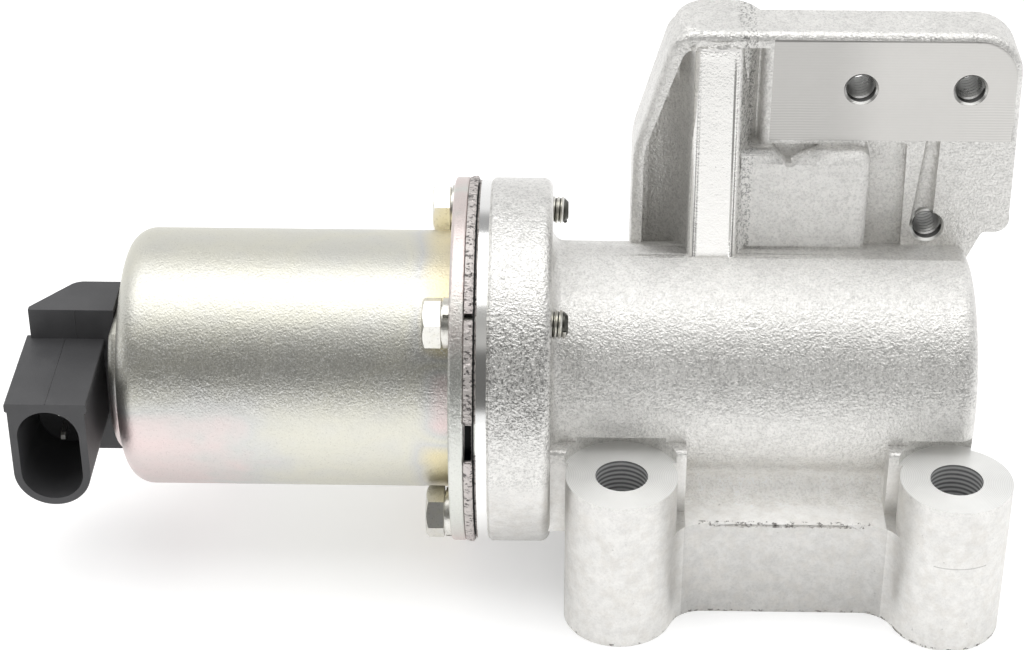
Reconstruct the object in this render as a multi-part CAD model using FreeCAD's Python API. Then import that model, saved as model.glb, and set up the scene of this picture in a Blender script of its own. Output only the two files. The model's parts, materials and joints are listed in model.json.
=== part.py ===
"""Solenoid exhaust gas recirculation valve: cast housing, poppet valve train and solenoid.

Frame, in millimetres: +X runs along the valve axis from the solenoid to the closed end of the
casting, +Z points up from the bolted base face. The origin lies on the base face, midway between
the two gas ports and under the valve axis. The valve stands closed, with the solenoid off.
"""
import FreeCAD, Part
import math
import os

V = FreeCAD.Vector
X_AXIS = V(1, 0, 0)
Y_AXIS = V(0, 1, 0)

# How far a cut runs past a face, and one form of the casting into the next before they are fused
RUNOUT = 1.0
ROOT = 1.0

# Circles around the can that the screws and plates follow, and the height of the axis
CAN_R = 22.9
SCREW_CLEARANCE = 4.8
SCREW_CIRCLE_R = CAN_R + SCREW_CLEARANCE
FLANGE_MARGIN = 4.7
FLANGE_R = SCREW_CIRCLE_R + FLANGE_MARGIN
FLANGE_CLEARANCE = 2.6
AXIS_Z = FLANGE_R + FLANGE_CLEARANCE

# Casting: barrel and round flange
FLANGE_X = -51.25
FLANGE_T = 10.55
FLANGE_LIP = 0.4
FLANGE_EDGE = 1.8
NECK_FILLET = 2.2
BARREL_R = 21.3
BARREL_END = 32.2
BARREL_EDGE = 2.6
BARREL_TOP = AXIS_Z + BARREL_R
END_WALL = 4.5

# Casting: bolted base
PORT_PITCH = 28.0
PORT_R = 8.5
BOLT_PITCH = 57.0
BOSS_Y = -28.0
BOSS_R = 9.6
BOSS_HEIGHT = 29.5
BOLT_HOLE_R = 4.5
WEB_Y = -27.3
WEB_FILLET = 6.0
LEDGE_Z = 19.2
SKIRT_Y = -20.6
SKIRT_TOP_DROP = 3.0
SKIRT_TOP = AXIS_Z - SKIRT_TOP_DROP
SKIRT_FILLET = 2.2
BASE_BACK = 14.0
BASE_CORNER = 8.0
EAR_Y = 27.5
EAR_R = 10.0
EAR_T = 12.0
EAR_ROOT_R = 17.0
SHELF_RISE = 2.2
SHELF_Z = BOSS_HEIGHT + SHELF_RISE
SHELF_SIDE = 1.6
SHELF_EDGE = 0.8
SHELF_SETBACK = 4.0
SHELF_FRONT = BOSS_Y + SHELF_SETBACK
SHELF_BACK = -8.0
SPOTFACE_R = 10.3
GUSSET_Z = 15.0
GUSSET_Y = -24.5

# Casting: bracket above the barrel
BRACKET_HEIGHT = 39.4
BRACKET_TOP = BARREL_TOP + BRACKET_HEIGHT
BRACKET_FRONT = 7.5
BRACKET_BACK = 17.3
BRACKET_LEFT = -27.0
BRACKET_RIGHT = 38.9
BRACKET_LEFT_TOP = -20.5
BRACKET_BEND_DROP = 22.7
BRACKET_BEND_Z = BRACKET_TOP - BRACKET_BEND_DROP
BRACKET_BEND_R = 18.0
BRACKET_ROOT_RISE = 4.0
BRACKET_ROOT_Z = AXIS_Z + BRACKET_ROOT_RISE
BRACKET_FLARE = 0.6
BRACKET_CORNER = 8.0
BRACKET_LEFT_CORNER = 5.0
FOOT_RISE = 1.0
FOOT_Z = BARREL_TOP + FOOT_RISE
FOOT_CORNER = 2.5
FOOT_LENGTH = 4.0
FOOT_EDGE = 1.0
FOOT_SLOPE_DROP = 6.8
FOOT_SLOPE_Z = BARREL_TOP - FOOT_SLOPE_DROP
RIM_T = 1.9
RIM_TOP_T = 3.2
POCKET_DEPTH = 6.2
POCKET_LOW_RISE = 10.0
POCKET_LOW_Z = AXIS_Z + POCKET_LOW_RISE
POCKET_CORNER = 2.0
COLUMN_X = -12.4
COLUMN_R = 4.8
COLUMN_FRONT = 0.4
LUG_R = 7.9
LUG_Y = 15.0
LUG_DEPTH = 30.0
LUG_EDGE = 1.2
PAD_LEFT = -5.0
PAD_HEIGHT = 20.0
PAD_LOW = BRACKET_TOP - PAD_HEIGHT
PAD_STEP = 0.9
PAD_RIM = 2.6
PAD_EDGE = 1.5
VALLEY_DEPTH = 3.2
VALLEY_FILLET = 0.5
VALLEY_SLOPE = 0.4
BLOCK_LEFT = -8.4
BLOCK_RIGHT = 14.0
BLOCK_DROP = 1.1
BLOCK_TOP = PAD_LOW - BLOCK_DROP
BLOCK_FRONT = 4.4
BLOCK_EDGE = 2.2
RECESS_WIDTH = 7.0
RECESS_DEPTH = 1.6
RECESS_STEP = 0.8
RECESS_DRAFT = 0.6
PAD_HOLES_X = (11.6, 30.2)
PAD_HOLES_DROP = 10.2
PAD_HOLES_Z = BRACKET_TOP - PAD_HOLES_DROP
LOW_HOLE_X = 25.2
LOW_HOLE_RISE = 2.0
LOW_HOLE_Z = BARREL_TOP + LOW_HOLE_RISE
TAP_R = 2.5
TAP_CHAMFER = 0.45
CHANNEL_TOP_R = 1.2
CHANNEL_LOW_R = 2.0
CHANNEL_LOW_SHIFT = 1.2
CHANNEL_LOW_X = LOW_HOLE_X - CHANNEL_LOW_SHIFT
CHANNEL_TOP_SHIFT = 0.35
CHANNEL_TOP_X = LOW_HOLE_X - CHANNEL_TOP_SHIFT

# Casting: machined bores and cored chambers, from the flange face inwards
GUIDE_BORE_R = 14.0
GUIDE_X = 14.75
GUIDE_LENGTH = 13.0
SHOULDER_R = 13.6
SHOULDER_T = 1.2
CHAMBER_R = 15.6
CHAMBER_CORNER = 3.0
SEAT_R = 13.4
SEAT_X = 46.4
SEAT_T = 6.0
SEAT_STOP_R = 12.2
SEAT_STOP_T = 1.2

# Plates clamped between casting and solenoid
SPACER_T = 2.3
SPACER_INSET = 0.1
SPACER_R = FLANGE_R - SPACER_INSET
SPACER_BORE_R = 17.0
SPACER_EDGE = 0.3
GASKET_T = 0.4
GASKET_INSET = 1.0
GASKET_R = FLANGE_R - GASKET_INSET
END_PLATE_T = 1.4
END_PLATE_R = FLANGE_R
END_PLATE_BORE_R = 4.2
CLAMP_PLATE_T = 2.6
CLAMP_PLATE_R = FLANGE_R
CLAMP_PLATE_EDGE = 0.5
SLOT_WIDTH = 6.9
SLOT_DEPTH = 3.0
SLOT_ANGLE = 6.3
NICK_WIDTH = 1.2
NICK_DEPTH = 2.0
NICK_ANGLE = 45.0

# Flange screws
SCREW_R = 2.5
SCREW_LENGTH = 21.0
SCREW_POINT = 0.4
SCREW_HOLE_GAP = 0.3
SCREW_TAP_GAP = 0.05
SCREW_TAP_RUNOUT = 0.6
SCREW_ANGLES = (135.0, 225.0, 315.0, 45.0)
HEX_FLATS = 8.0
HEX_HEIGHT = 3.5
HEX_BEVEL = 0.5
HEX_BEVEL_SLOPE = 1.4
WASHER_T = 1.0
WASHER_R = 4.3
WASHER_HOLE_R = 2.65
WASHER_SPLIT = 0.9

# Solenoid
CAN_WALL = 1.5
CAN_END = 60.4
CAN_SHOULDER = 4.6
CAN_END_WALL = 2.0
PLATEAU_INSET = 5.9
PLATEAU_R = CAN_R - PLATEAU_INSET
PLATEAU_STEP = 1.8
PLATEAU_EDGE = 1.5
PLATEAU_CUT = 5.0
PLATEAU_CHORD = PLATEAU_R - PLATEAU_CUT
CAN_FIT = 0.1
SEAL_T = 1.0
SEAL_WIDTH = 3.6
POLE_PLATE_T = 7.2
POLE_PLATE_BORE_GAP = 0.1
TUBE_BORE_R = 8.6
TUBE_WALL = 0.5
BOBBIN_GAP = 0.2
BOBBIN_WALL = 1.2
BOBBIN_CHEEK = 1.5
BOBBIN_EDGE = 0.5
WINDING_DEPTH = 3.0
CORE_DISC_T = 3.0
CORE_RECESS = 2.0
TRAVEL = 5.5
CORE_GAP_SPARE = 0.5
CORE_GAP = TRAVEL + CORE_GAP_SPARE
ARMATURE_LENGTH = 22.0
ARMATURE_GAP = 0.08
ARMATURE_FACE = 13.3
ARMATURE_SLOT_R = 1.1
ARMATURE_EDGE = 0.5

# Valve train
STEM_R = 3.0
STEM_GAP = 0.04
STEM_GRIP = 14.0
STEM_TIP = 1.6
STEM_POINT = 0.5
POPPET_R = 11.4
POPPET_T = 2.4
POPPET_HUB_R = 4.6
POPPET_HUB_LENGTH = 4.6
SEAT_ORIFICE_R = 9.6
SEAT_CHAMFER = 1.2
POPPET_SEAT_GAP = 0.12
SEAL_CUP_R = 6.5
SEAL_CUP_T = 2.6
SEAL_CUP_GRIP = 0.5
SEAL_CUP_GROOVE = 1.2
RETAINER_FACE = 9.2
RETAINER_T = 1.6
RETAINER_R = 11.0
RETAINER_HUB_R = 5.0
RETAINER_HUB_LENGTH = 3.2
SPRING_R = 8.6
SPRING_WIRE_R = 0.65
SPRING_TURNS = 4.5

# Connector and its terminals
NECK_R = 3.6
NECK_DROP = 11.0
NECK_GAP = 0.1
SLAB_HALF = 5.5
SLAB_BACK = 4.3
SLAB_LOW = 18.3
SLAB_TOP = 47.6
SLAB_LENGTH = 14.9
SLAB_CORNER_X = 7.0
SLAB_CORNER_Y = 8.8
SLAB_CORNER_R = 3.0
SLAB_EDGE = 0.6
SHROUD_X = -126.4
SHROUD_WIDTH = 13.2
SHROUD_LOW = 21.0
SHROUD_TOP = 41.4
SHROUD_LENGTH = 21.0
SHROUD_WALL = 1.3
SHROUD_LIP = 0.4
SHROUD_LIP_T = 1.4
SHROUD_LIP_RISE = 0.3
SOCKET_DEPTH = 17.5
TERMINAL_PITCH = 5.0
TERMINAL_Z = 30.0
TERMINAL_WIDTH = 1.5
TERMINAL_T = 0.8
TERMINAL_LENGTH = 6.5
TERMINAL_ROOT = 4.0
TERMINAL_POINT = 0.6

spacer_face = FLANGE_X - SPACER_T
gasket_face = spacer_face - GASKET_T
end_plate_face = gasket_face - END_PLATE_T
clamp_face = end_plate_face - CLAMP_PLATE_T
screw_tip = clamp_face - WASHER_T + SCREW_LENGTH
can_end_x = end_plate_face - CAN_END
pole_face = end_plate_face - SEAL_T
coil_right = pole_face - POLE_PLATE_T
core_back = can_end_x + CAN_END_WALL
coil_left = core_back + CORE_DISC_T
tube_r = TUBE_BORE_R + TUBE_WALL
can_inner_r = CAN_R - CAN_WALL
winding_r = can_inner_r - WINDING_DEPTH
armature_right = FLANGE_X - ARMATURE_FACE
armature_left = armature_right - ARMATURE_LENGTH
core_face = armature_left - CORE_GAP
inlet_x = PORT_PITCH / 2
outlet_x = -PORT_PITCH / 2
seat_face = FLANGE_X + SEAT_X


def rounded_wire(corners, place):
    """Closed wire through corners (u, v, radius), with a tangent arc at each corner that has one."""
    stretches = []
    count = len(corners)
    for i, (u, v, radius) in enumerate(corners):
        here = V(u, v, 0)
        if radius == 0:
            stretches.append((here, None, here))
            continue
        back = V(corners[i - 1][0], corners[i - 1][1], 0) - here
        ahead = V(corners[(i + 1) % count][0], corners[(i + 1) % count][1], 0) - here
        back.normalize()
        ahead.normalize()
        half = back.getAngle(ahead) / 2
        reach = radius / math.tan(half)
        inward = back + ahead
        inward.normalize()
        middle = here + inward * (radius / math.sin(half) - radius)
        stretches.append((here + back * reach, middle, here + ahead * reach))
    edges = []
    for i, (start, middle, end) in enumerate(stretches):
        before = stretches[i - 1][2]
        first = place(start.x, start.y)
        if (start - before).Length > 1e-6:
            edges.append(Part.LineSegment(place(before.x, before.y), first).toShape())
        if middle is not None:
            arc = Part.Arc(first, place(middle.x, middle.y), place(end.x, end.y))
            edges.append(arc.toShape())
    return Part.Wire(edges)


def prism_z(corners, low, high):
    """Outline (x, y, radius) in plan, between two heights."""
    face = Part.Face(rounded_wire(corners, lambda u, v: V(u, v, low)))
    return face.extrude(V(0, 0, high - low))


def prism_y(corners, near, far):
    """Outline (x, z, radius) seen from the front, between two depths."""
    face = Part.Face(rounded_wire(corners, lambda u, v: V(u, near, v)))
    return face.extrude(V(0, far - near, 0))


def prism_x(corners, left, right):
    """Outline (y, z, radius) seen along the valve axis, between two stations."""
    face = Part.Face(rounded_wire(corners, lambda u, v: V(left, u, v)))
    return face.extrude(V(right - left, 0, 0))


def lathe(corners):
    """Profile (x, radius from the valve axis, corner radius), turned about the valve axis."""
    face = Part.Face(rounded_wire(corners, lambda u, v: V(u, 0, AXIS_Z + v)))
    return face.revolve(V(0, 0, AXIS_Z), X_AXIS, 360)


def turned(left, right, outer, inner=0.0):
    """Plain disc, tube or ring on the valve axis."""
    solid = Part.makeCylinder(outer, right - left, V(left, 0, AXIS_Z), X_AXIS)
    if inner:
        solid = solid.cut(Part.makeCylinder(inner, right - left, V(left, 0, AXIS_Z), X_AXIS))
    return solid


def on_screw_circle(angle, x):
    """Point on the screw circle, with the angle taken from +Y towards +Z."""
    turn = math.radians(angle)
    return V(x, SCREW_CIRCLE_R * math.cos(turn), AXIS_Z + SCREW_CIRCLE_R * math.sin(turn))


def screw_holes(left, right, gap):
    """Four plain holes for the flange screws."""
    holes = [Part.makeCylinder(SCREW_R + gap, right - left, on_screw_circle(angle, left), X_AXIS)
             for angle in SCREW_ANGLES]
    return holes[0].multiFuse(holes[1:])


def round_edges(shape, radius, wanted):
    """Fillet the edges whose centre passes the test."""
    edges = [edge for edge in shape.Edges if wanted(edge.BoundBox)]
    return shape.makeFillet(radius, edges)


def link(centre, radius, other, other_radius, low, high):
    """Plate shaped like a belt around two circles."""
    along = other - centre
    turn = math.atan2(along.y, along.x)
    lean = math.acos((radius - other_radius) / along.Length)
    points = []
    ends = []
    for hub, r, first in ((centre, radius, 1), (other, other_radius, -1)):
        ends.append(Part.makeCylinder(r, high - low, V(hub.x, hub.y, low)))
        for side in (first, -first):
            angle = turn + side * lean
            points.append(V(hub.x + r * math.cos(angle), hub.y + r * math.sin(angle), low))
    belt = Part.Face(Part.makePolygon(points + points[:1])).extrude(V(0, 0, high - low))
    return belt.multiFuse(ends)


def front_bosses():
    """Two long bolt bosses with the web between them, blended at the front."""
    half = BOLT_PITCH / 2
    bosses = [Part.makeCylinder(BOSS_R, BOSS_HEIGHT, V(side * half, BOSS_Y, 0)) for side in (-1, 1)]
    block = prism_z([(-half, WEB_Y, 0), (half, WEB_Y, 0), (half, BASE_BACK, BASE_CORNER),
                     (-half, BASE_BACK, BASE_CORNER)], 0, LEDGE_Z)
    return block.multiFuse(bosses + [web_blend(side) for side in (-1, 1)])


def web_blend(side):
    """Concave corner, tangent to a boss and to the front of the web."""
    boss_x = side * BOLT_PITCH / 2
    drop = BOSS_Y - WEB_Y + WEB_FILLET
    reach = math.sqrt((BOSS_R + WEB_FILLET) ** 2 - drop ** 2)
    centre_x = boss_x - side * reach
    centre_y = WEB_Y - WEB_FILLET
    corner = prism_z([(boss_x, BOSS_Y, 0), (centre_x, centre_y, 0), (centre_x, WEB_Y + ROOT, 0),
                      (boss_x, WEB_Y + ROOT, 0)], 0, LEDGE_Z)
    return corner.cut(Part.makeCylinder(WEB_FILLET, LEDGE_Z, V(centre_x, centre_y, 0)))


def skirt():
    """Wall under the barrel's front, blended into the ledge."""
    half = BOLT_PITCH / 2
    low = LEDGE_Z - ROOT
    front = WEB_Y + ROOT
    return prism_x([(front, low, 0), (front, LEDGE_Z, 0), (SKIRT_Y, LEDGE_Z, SKIRT_FILLET),
                    (SKIRT_Y, SKIRT_TOP, 0), (0, SKIRT_TOP, 0), (0, low, 0)], -half, half)


def shelf(left, right, low, front):
    """Flat-topped shoulder that ties a boss to the barrel or the flange."""
    return prism_x([(front, low, 0), (front, SHELF_Z, SHELF_EDGE), (SHELF_BACK, SHELF_Z, 0),
                    (SHELF_BACK, low, 0)], left, right)


def bracket():
    """Upright plate over the barrel, with its rim, pocket, column, corner lug and machined pad."""
    low = BRACKET_ROOT_Z
    plate = prism_y([(BRACKET_LEFT, low, 0), (BRACKET_LEFT, BRACKET_BEND_Z, BRACKET_BEND_R),
                     (BRACKET_LEFT_TOP, BRACKET_TOP, BRACKET_LEFT_CORNER),
                     (BRACKET_RIGHT, BRACKET_TOP, BRACKET_CORNER),
                     (BRACKET_RIGHT + BRACKET_FLARE, FOOT_Z, FOOT_CORNER),
                     (BRACKET_RIGHT - FOOT_LENGTH, FOOT_Z, FOOT_EDGE), (BARREL_END - BRACKET_FLARE, FOOT_SLOPE_Z, 0),
                     (BARREL_END - FOOT_LENGTH, low, 0)], BRACKET_FRONT, BRACKET_BACK)
    lug = Part.makeCylinder(LUG_R, LUG_DEPTH, V(COLUMN_X, LUG_Y, BRACKET_TOP - LUG_DEPTH))
    lug = round_edges(lug, LUG_EDGE, lambda box: box.ZMin > BRACKET_TOP - LUG_EDGE)
    body = plate
    for cut in (left_pocket(), pad_step(), lower_recess(), pad_valley()):
        body = body.cut(cut)
    return body.multiFuse([lug, leaning_column(low, BRACKET_TOP - ROOT), block()])


def left_pocket():
    """Tray between the rim and the column."""
    left = BRACKET_LEFT + RIM_T
    top = BRACKET_TOP - RIM_TOP_T
    return prism_y([(left, POCKET_LOW_Z, 0), (left, BRACKET_BEND_Z, BRACKET_BEND_R - RIM_T),
                    (BRACKET_LEFT_TOP + RIM_T, top, POCKET_CORNER), (COLUMN_X, top, 0), (COLUMN_X, POCKET_LOW_Z, 0)],
                   BRACKET_FRONT - RUNOUT, BRACKET_FRONT + POCKET_DEPTH)


def block():
    """Rounded block that stands out of the plate under the pad."""
    back = BRACKET_BACK - ROOT
    body = prism_x([(BLOCK_FRONT, BRACKET_ROOT_Z, 0), (BLOCK_FRONT, BLOCK_TOP, BLOCK_EDGE), (back, BLOCK_TOP, 0),
                    (back, BRACKET_ROOT_Z, 0)], BLOCK_LEFT, BLOCK_RIGHT)
    return round_edges(body, BLOCK_EDGE, lambda box: box.ZLength > BLOCK_EDGE and box.YMax < BLOCK_FRONT + ROOT
                       and box.XMin > BLOCK_RIGHT - ROOT)


def pad_step():
    """Cut that leaves the machined pad proud of the plate below it."""
    right = BRACKET_RIGHT + BRACKET_FLARE + RUNOUT
    left = BLOCK_RIGHT - ROOT
    return prism_y([(left, BRACKET_ROOT_Z, 0), (left, PAD_LOW, 0), (right, PAD_LOW, 0), (right, BRACKET_ROOT_Z, 0)],
                   BRACKET_FRONT - RUNOUT, BRACKET_FRONT + PAD_STEP)


def lower_recess():
    """Shallow recess beside the block, under the pad."""
    left = BLOCK_RIGHT - ROOT
    right = BLOCK_RIGHT + RECESS_WIDTH
    top = PAD_LOW - RECESS_STEP
    return prism_y([(left, BRACKET_ROOT_Z, 0), (left, top, 0), (right - RECESS_DRAFT, top, RECESS_STEP),
                    (right, BRACKET_ROOT_Z, 0)], BRACKET_FRONT, BRACKET_FRONT + PAD_STEP + RECESS_DEPTH)


def pad_valley():
    """Valley between the column and the pad, with the pad's left edge rounded into it."""
    floor = BRACKET_FRONT + VALLEY_DEPTH
    mouth = BRACKET_FRONT - VALLEY_DEPTH
    profile = [(COLUMN_X, mouth, 0), (PAD_LEFT + PAD_EDGE, mouth, 0), (PAD_LEFT + PAD_EDGE, BRACKET_FRONT, 0),
               (PAD_LEFT, BRACKET_FRONT, PAD_EDGE * 0.99), (PAD_LEFT - VALLEY_SLOPE, floor, VALLEY_FILLET),
               (COLUMN_X, floor, 0)]
    return prism_z(profile, BLOCK_TOP - ROOT, BRACKET_TOP - PAD_RIM)


def leaning_column(low, high):
    """Round-fronted rib whose front leans back to the rim as it rises."""
    lean = (high - low) / (high - BARREL_TOP) * (BRACKET_FRONT - COLUMN_FRONT)
    left = COLUMN_X - COLUMN_R
    right = COLUMN_X + COLUMN_R
    back = BRACKET_BACK - ROOT
    nose = COLUMN_R * 0.99
    sections = []
    for z, front in ((low, BRACKET_FRONT - lean), (high, BRACKET_FRONT)):
        outline = [(left, front, nose), (right, front, nose), (right, back, 0), (left, back, 0)]
        sections.append(rounded_wire(outline, lambda u, v, z=z: V(u, v, z)))
    return Part.makeLoft(sections, True, True)


def tapped_hole(x, z, front):
    """Plain tap-size hole through the bracket, with its chamfered mouth."""
    start = V(x, front - RUNOUT, z)
    depth = TAP_CHAMFER + RUNOUT
    hole = Part.makeCylinder(TAP_R, BRACKET_BACK - front + 2 * RUNOUT, start, Y_AXIS)
    return hole.fuse(Part.makeCone(TAP_R + depth, TAP_R, depth, start, Y_AXIS))


def tool_channel():
    """Tapered groove from the pad's lower edge down to the lower tapped hole."""
    front = BRACKET_FRONT + PAD_STEP
    foot = V(CHANNEL_LOW_X, front, LOW_HOLE_Z)
    lean = V(CHANNEL_TOP_X, front, PAD_LOW) - foot
    return Part.makeCone(CHANNEL_LOW_R, CHANNEL_TOP_R, lean.Length, foot, lean)


def valve_body():
    """The aluminium casting."""
    right = FLANGE_X + FLANGE_T
    barrel = lathe([(FLANGE_X, 0, 0), (FLANGE_X, FLANGE_R, FLANGE_LIP), (right, FLANGE_R, FLANGE_EDGE),
                    (right, BARREL_R, NECK_FILLET), (BARREL_END, BARREL_R, BARREL_EDGE), (BARREL_END, 0, 0)])
    half = BOLT_PITCH / 2
    shelves = [shelf(-half - BOSS_R / 2, -half + BOSS_R + SHELF_SIDE, 0, SHELF_FRONT),
               shelf(right - ROOT, -half, GUSSET_Z, GUSSET_Y),
               shelf(half - BOSS_R - SHELF_SIDE, BARREL_END - SHELF_SIDE, 0, SHELF_FRONT)]
    ear = link(V(0, 0, 0), EAR_ROOT_R, V(0, EAR_Y, 0), EAR_R, 0, EAR_T)
    solid = barrel.multiFuse([front_bosses(), skirt(), ear, bracket()] + shelves)
    for side in (-1, 1):
        spotface = V(side * half, BOSS_Y, BOSS_HEIGHT)
        solid = solid.cut(Part.makeCylinder(SPOTFACE_R, SHELF_Z - BOSS_HEIGHT + RUNOUT, spotface))
        solid = solid.cut(upright_hole(BOLT_HOLE_R, side * half, BOSS_Y, BOSS_HEIGHT + RUNOUT))
    cuts = [upright_hole(BOLT_HOLE_R, 0, EAR_Y, EAR_T + RUNOUT), body_bores(),
            screw_holes(FLANGE_X - RUNOUT, screw_tip + SCREW_TAP_RUNOUT, SCREW_TAP_GAP), tool_channel(),
            tapped_hole(LOW_HOLE_X, LOW_HOLE_Z, BRACKET_FRONT + PAD_STEP)]
    cuts += [tapped_hole(x, PAD_HOLES_Z, BRACKET_FRONT) for x in PAD_HOLES_X]
    cuts += [upright_hole(PORT_R, x, 0, AXIS_Z) for x in (inlet_x, outlet_x)]
    for cut in cuts:
        solid = solid.cut(cut)
    return solid


def upright_hole(radius, x, y, top):
    """Hole from below the base face up to a height."""
    return Part.makeCylinder(radius, top + RUNOUT, V(x, y, -RUNOUT))


def body_bores():
    """Guide bore, gas chamber on each side of the seat and the stepped seat bore between them."""
    guide_end = FLANGE_X + GUIDE_X + GUIDE_LENGTH
    stop_x = seat_face + SEAT_T
    end = BARREL_END - END_WALL
    mouth = FLANGE_X - RUNOUT
    return lathe([(mouth, 0, 0), (mouth, GUIDE_BORE_R, 0), (guide_end, GUIDE_BORE_R, 0),
                  (guide_end, SHOULDER_R, 0), (guide_end + SHOULDER_T, SHOULDER_R, 0),
                  (guide_end + SHOULDER_T, CHAMBER_R, 0), (seat_face, CHAMBER_R, 0), (seat_face, SEAT_R, 0),
                  (stop_x, SEAT_R, 0), (stop_x, SEAT_STOP_R, 0), (stop_x + SEAT_STOP_T, SEAT_STOP_R, 0),
                  (stop_x + SEAT_STOP_T, CHAMBER_R, 0), (end, CHAMBER_R, CHAMBER_CORNER), (end, 0, 0)])


def valve_seat():
    """Hardened ring that the poppet closes on."""
    back = seat_face + SEAT_T
    return lathe([(seat_face, SEAT_R, 0), (back, SEAT_R, 0), (back, SEAT_ORIFICE_R, 0.4),
                  (seat_face + SEAT_CHAMFER, SEAT_ORIFICE_R, 0), (seat_face, SEAT_ORIFICE_R + SEAT_CHAMFER, 0)])


def stem_guide():
    """Bush pressed in the casting, counterbored for the stem seal."""
    left = FLANGE_X + GUIDE_X
    right = left + GUIDE_LENGTH
    bore = STEM_R + STEM_GAP
    return lathe([(left, GUIDE_BORE_R, 0.5), (right, GUIDE_BORE_R, 0), (right, bore, 0),
                  (left + SEAL_CUP_T, bore, 0), (left + SEAL_CUP_T, SEAL_CUP_R, 0), (left, SEAL_CUP_R, 0)])


def stem_seal():
    """Scraper cup in the guide's counterbore."""
    left = FLANGE_X + GUIDE_X
    bore = STEM_R + STEM_GAP
    return lathe([(left, SEAL_CUP_R, 0), (left + SEAL_CUP_T, SEAL_CUP_R, 0), (left + SEAL_CUP_T, bore, 0),
                  (left, bore, 0), (left, bore + SEAL_CUP_GRIP, 0), (left + SEAL_CUP_T / 2, bore + SEAL_CUP_GROOVE, 0),
                  (left + SEAL_CUP_T / 2, SEAL_CUP_R - SEAL_CUP_GROOVE, 0), (left, SEAL_CUP_R - SEAL_CUP_GRIP, 0)])


def spacer_ring():
    """Machined ring with bright bevelled rims."""
    ring = lathe([(spacer_face, SPACER_BORE_R, 0), (spacer_face, SPACER_R - SPACER_EDGE, 0),
                  (spacer_face + SPACER_EDGE, SPACER_R, 0), (FLANGE_X - SPACER_EDGE, SPACER_R, 0),
                  (FLANGE_X, SPACER_R - SPACER_EDGE, 0), (FLANGE_X, SPACER_BORE_R, 0)])
    return ring.cut(screw_holes(spacer_face - RUNOUT, FLANGE_X + RUNOUT, SCREW_HOLE_GAP))


def flange_gasket():
    """Thin gasket between the end plate and the ring."""
    ring = turned(gasket_face, spacer_face, GASKET_R, SPACER_BORE_R)
    return ring.cut(screw_holes(gasket_face - RUNOUT, spacer_face + RUNOUT, SCREW_HOLE_GAP))


def end_plate():
    """Sheared sheet plate with a slot and a nick in its rim."""
    disc = turned(end_plate_face, gasket_face, END_PLATE_R, END_PLATE_BORE_R)
    disc = disc.cut(screw_holes(end_plate_face - RUNOUT, gasket_face + RUNOUT, SCREW_HOLE_GAP))
    return disc.cut(rim_cut(SLOT_WIDTH, SLOT_DEPTH, SLOT_ANGLE)).cut(rim_cut(NICK_WIDTH, NICK_DEPTH, NICK_ANGLE))


def rim_cut(width, depth, below):
    """Square cut into the end plate's rim, at an angle below the front."""
    cut = Part.makeBox(END_PLATE_T + 2 * RUNOUT, depth + RUNOUT, width,
                       V(end_plate_face - RUNOUT, -END_PLATE_R - RUNOUT, AXIS_Z - width / 2))
    cut.rotate(V(0, 0, AXIS_Z), X_AXIS, -below)
    return cut


def clamp_plate():
    """Thick plate pressed on the mouth of the can."""
    disc = turned(clamp_face, end_plate_face, CLAMP_PLATE_R, CAN_R)
    disc = disc.cut(screw_holes(clamp_face - RUNOUT, end_plate_face + RUNOUT, SCREW_HOLE_GAP))
    return round_edges(disc, CLAMP_PLATE_EDGE, lambda box: box.YLength > CLAMP_PLATE_R + CAN_R)


def flange_screw(angle):
    """Hexagon screw: bevelled head on its lock washer and a plain shank."""
    seat = on_screw_circle(angle, clamp_face - WASHER_T)
    across = HEX_FLATS / math.sqrt(3)
    corners = []
    for k in range(7):
        turn = math.radians(60 * k)
        corners.append(V(seat.x, seat.y + across * math.cos(turn), seat.z + across * math.sin(turn)))
    head = Part.Face(Part.makePolygon(corners)).extrude(V(-HEX_HEIGHT, 0, 0))
    top_r = across - HEX_BEVEL
    bevel = Part.makeCone(top_r + HEX_HEIGHT * HEX_BEVEL_SLOPE, top_r, HEX_HEIGHT, seat, V(-1, 0, 0))
    shank = Part.makeCylinder(SCREW_R, SCREW_LENGTH, seat, X_AXIS)
    tip = [edge for edge in shank.Edges if edge.BoundBox.XMin > seat.x + SCREW_LENGTH - SCREW_POINT]
    return head.common(bevel).fuse(shank.makeChamfer(SCREW_POINT, tip))


def lock_washer(angle):
    """Split spring washer under a screw head, with its split facing outwards."""
    seat = on_screw_circle(angle, clamp_face - WASHER_T)
    ring = Part.makeCylinder(WASHER_R, WASHER_T, seat, X_AXIS)
    ring = ring.cut(Part.makeCylinder(WASHER_HOLE_R, WASHER_T, seat, X_AXIS))
    split = Part.makeBox(WASHER_T + 2 * RUNOUT, WASHER_R + RUNOUT, WASHER_SPLIT,
                         seat + V(-RUNOUT, 0, -WASHER_SPLIT / 2))
    split.rotate(seat, X_AXIS, angle)
    return ring.cut(split)


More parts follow.
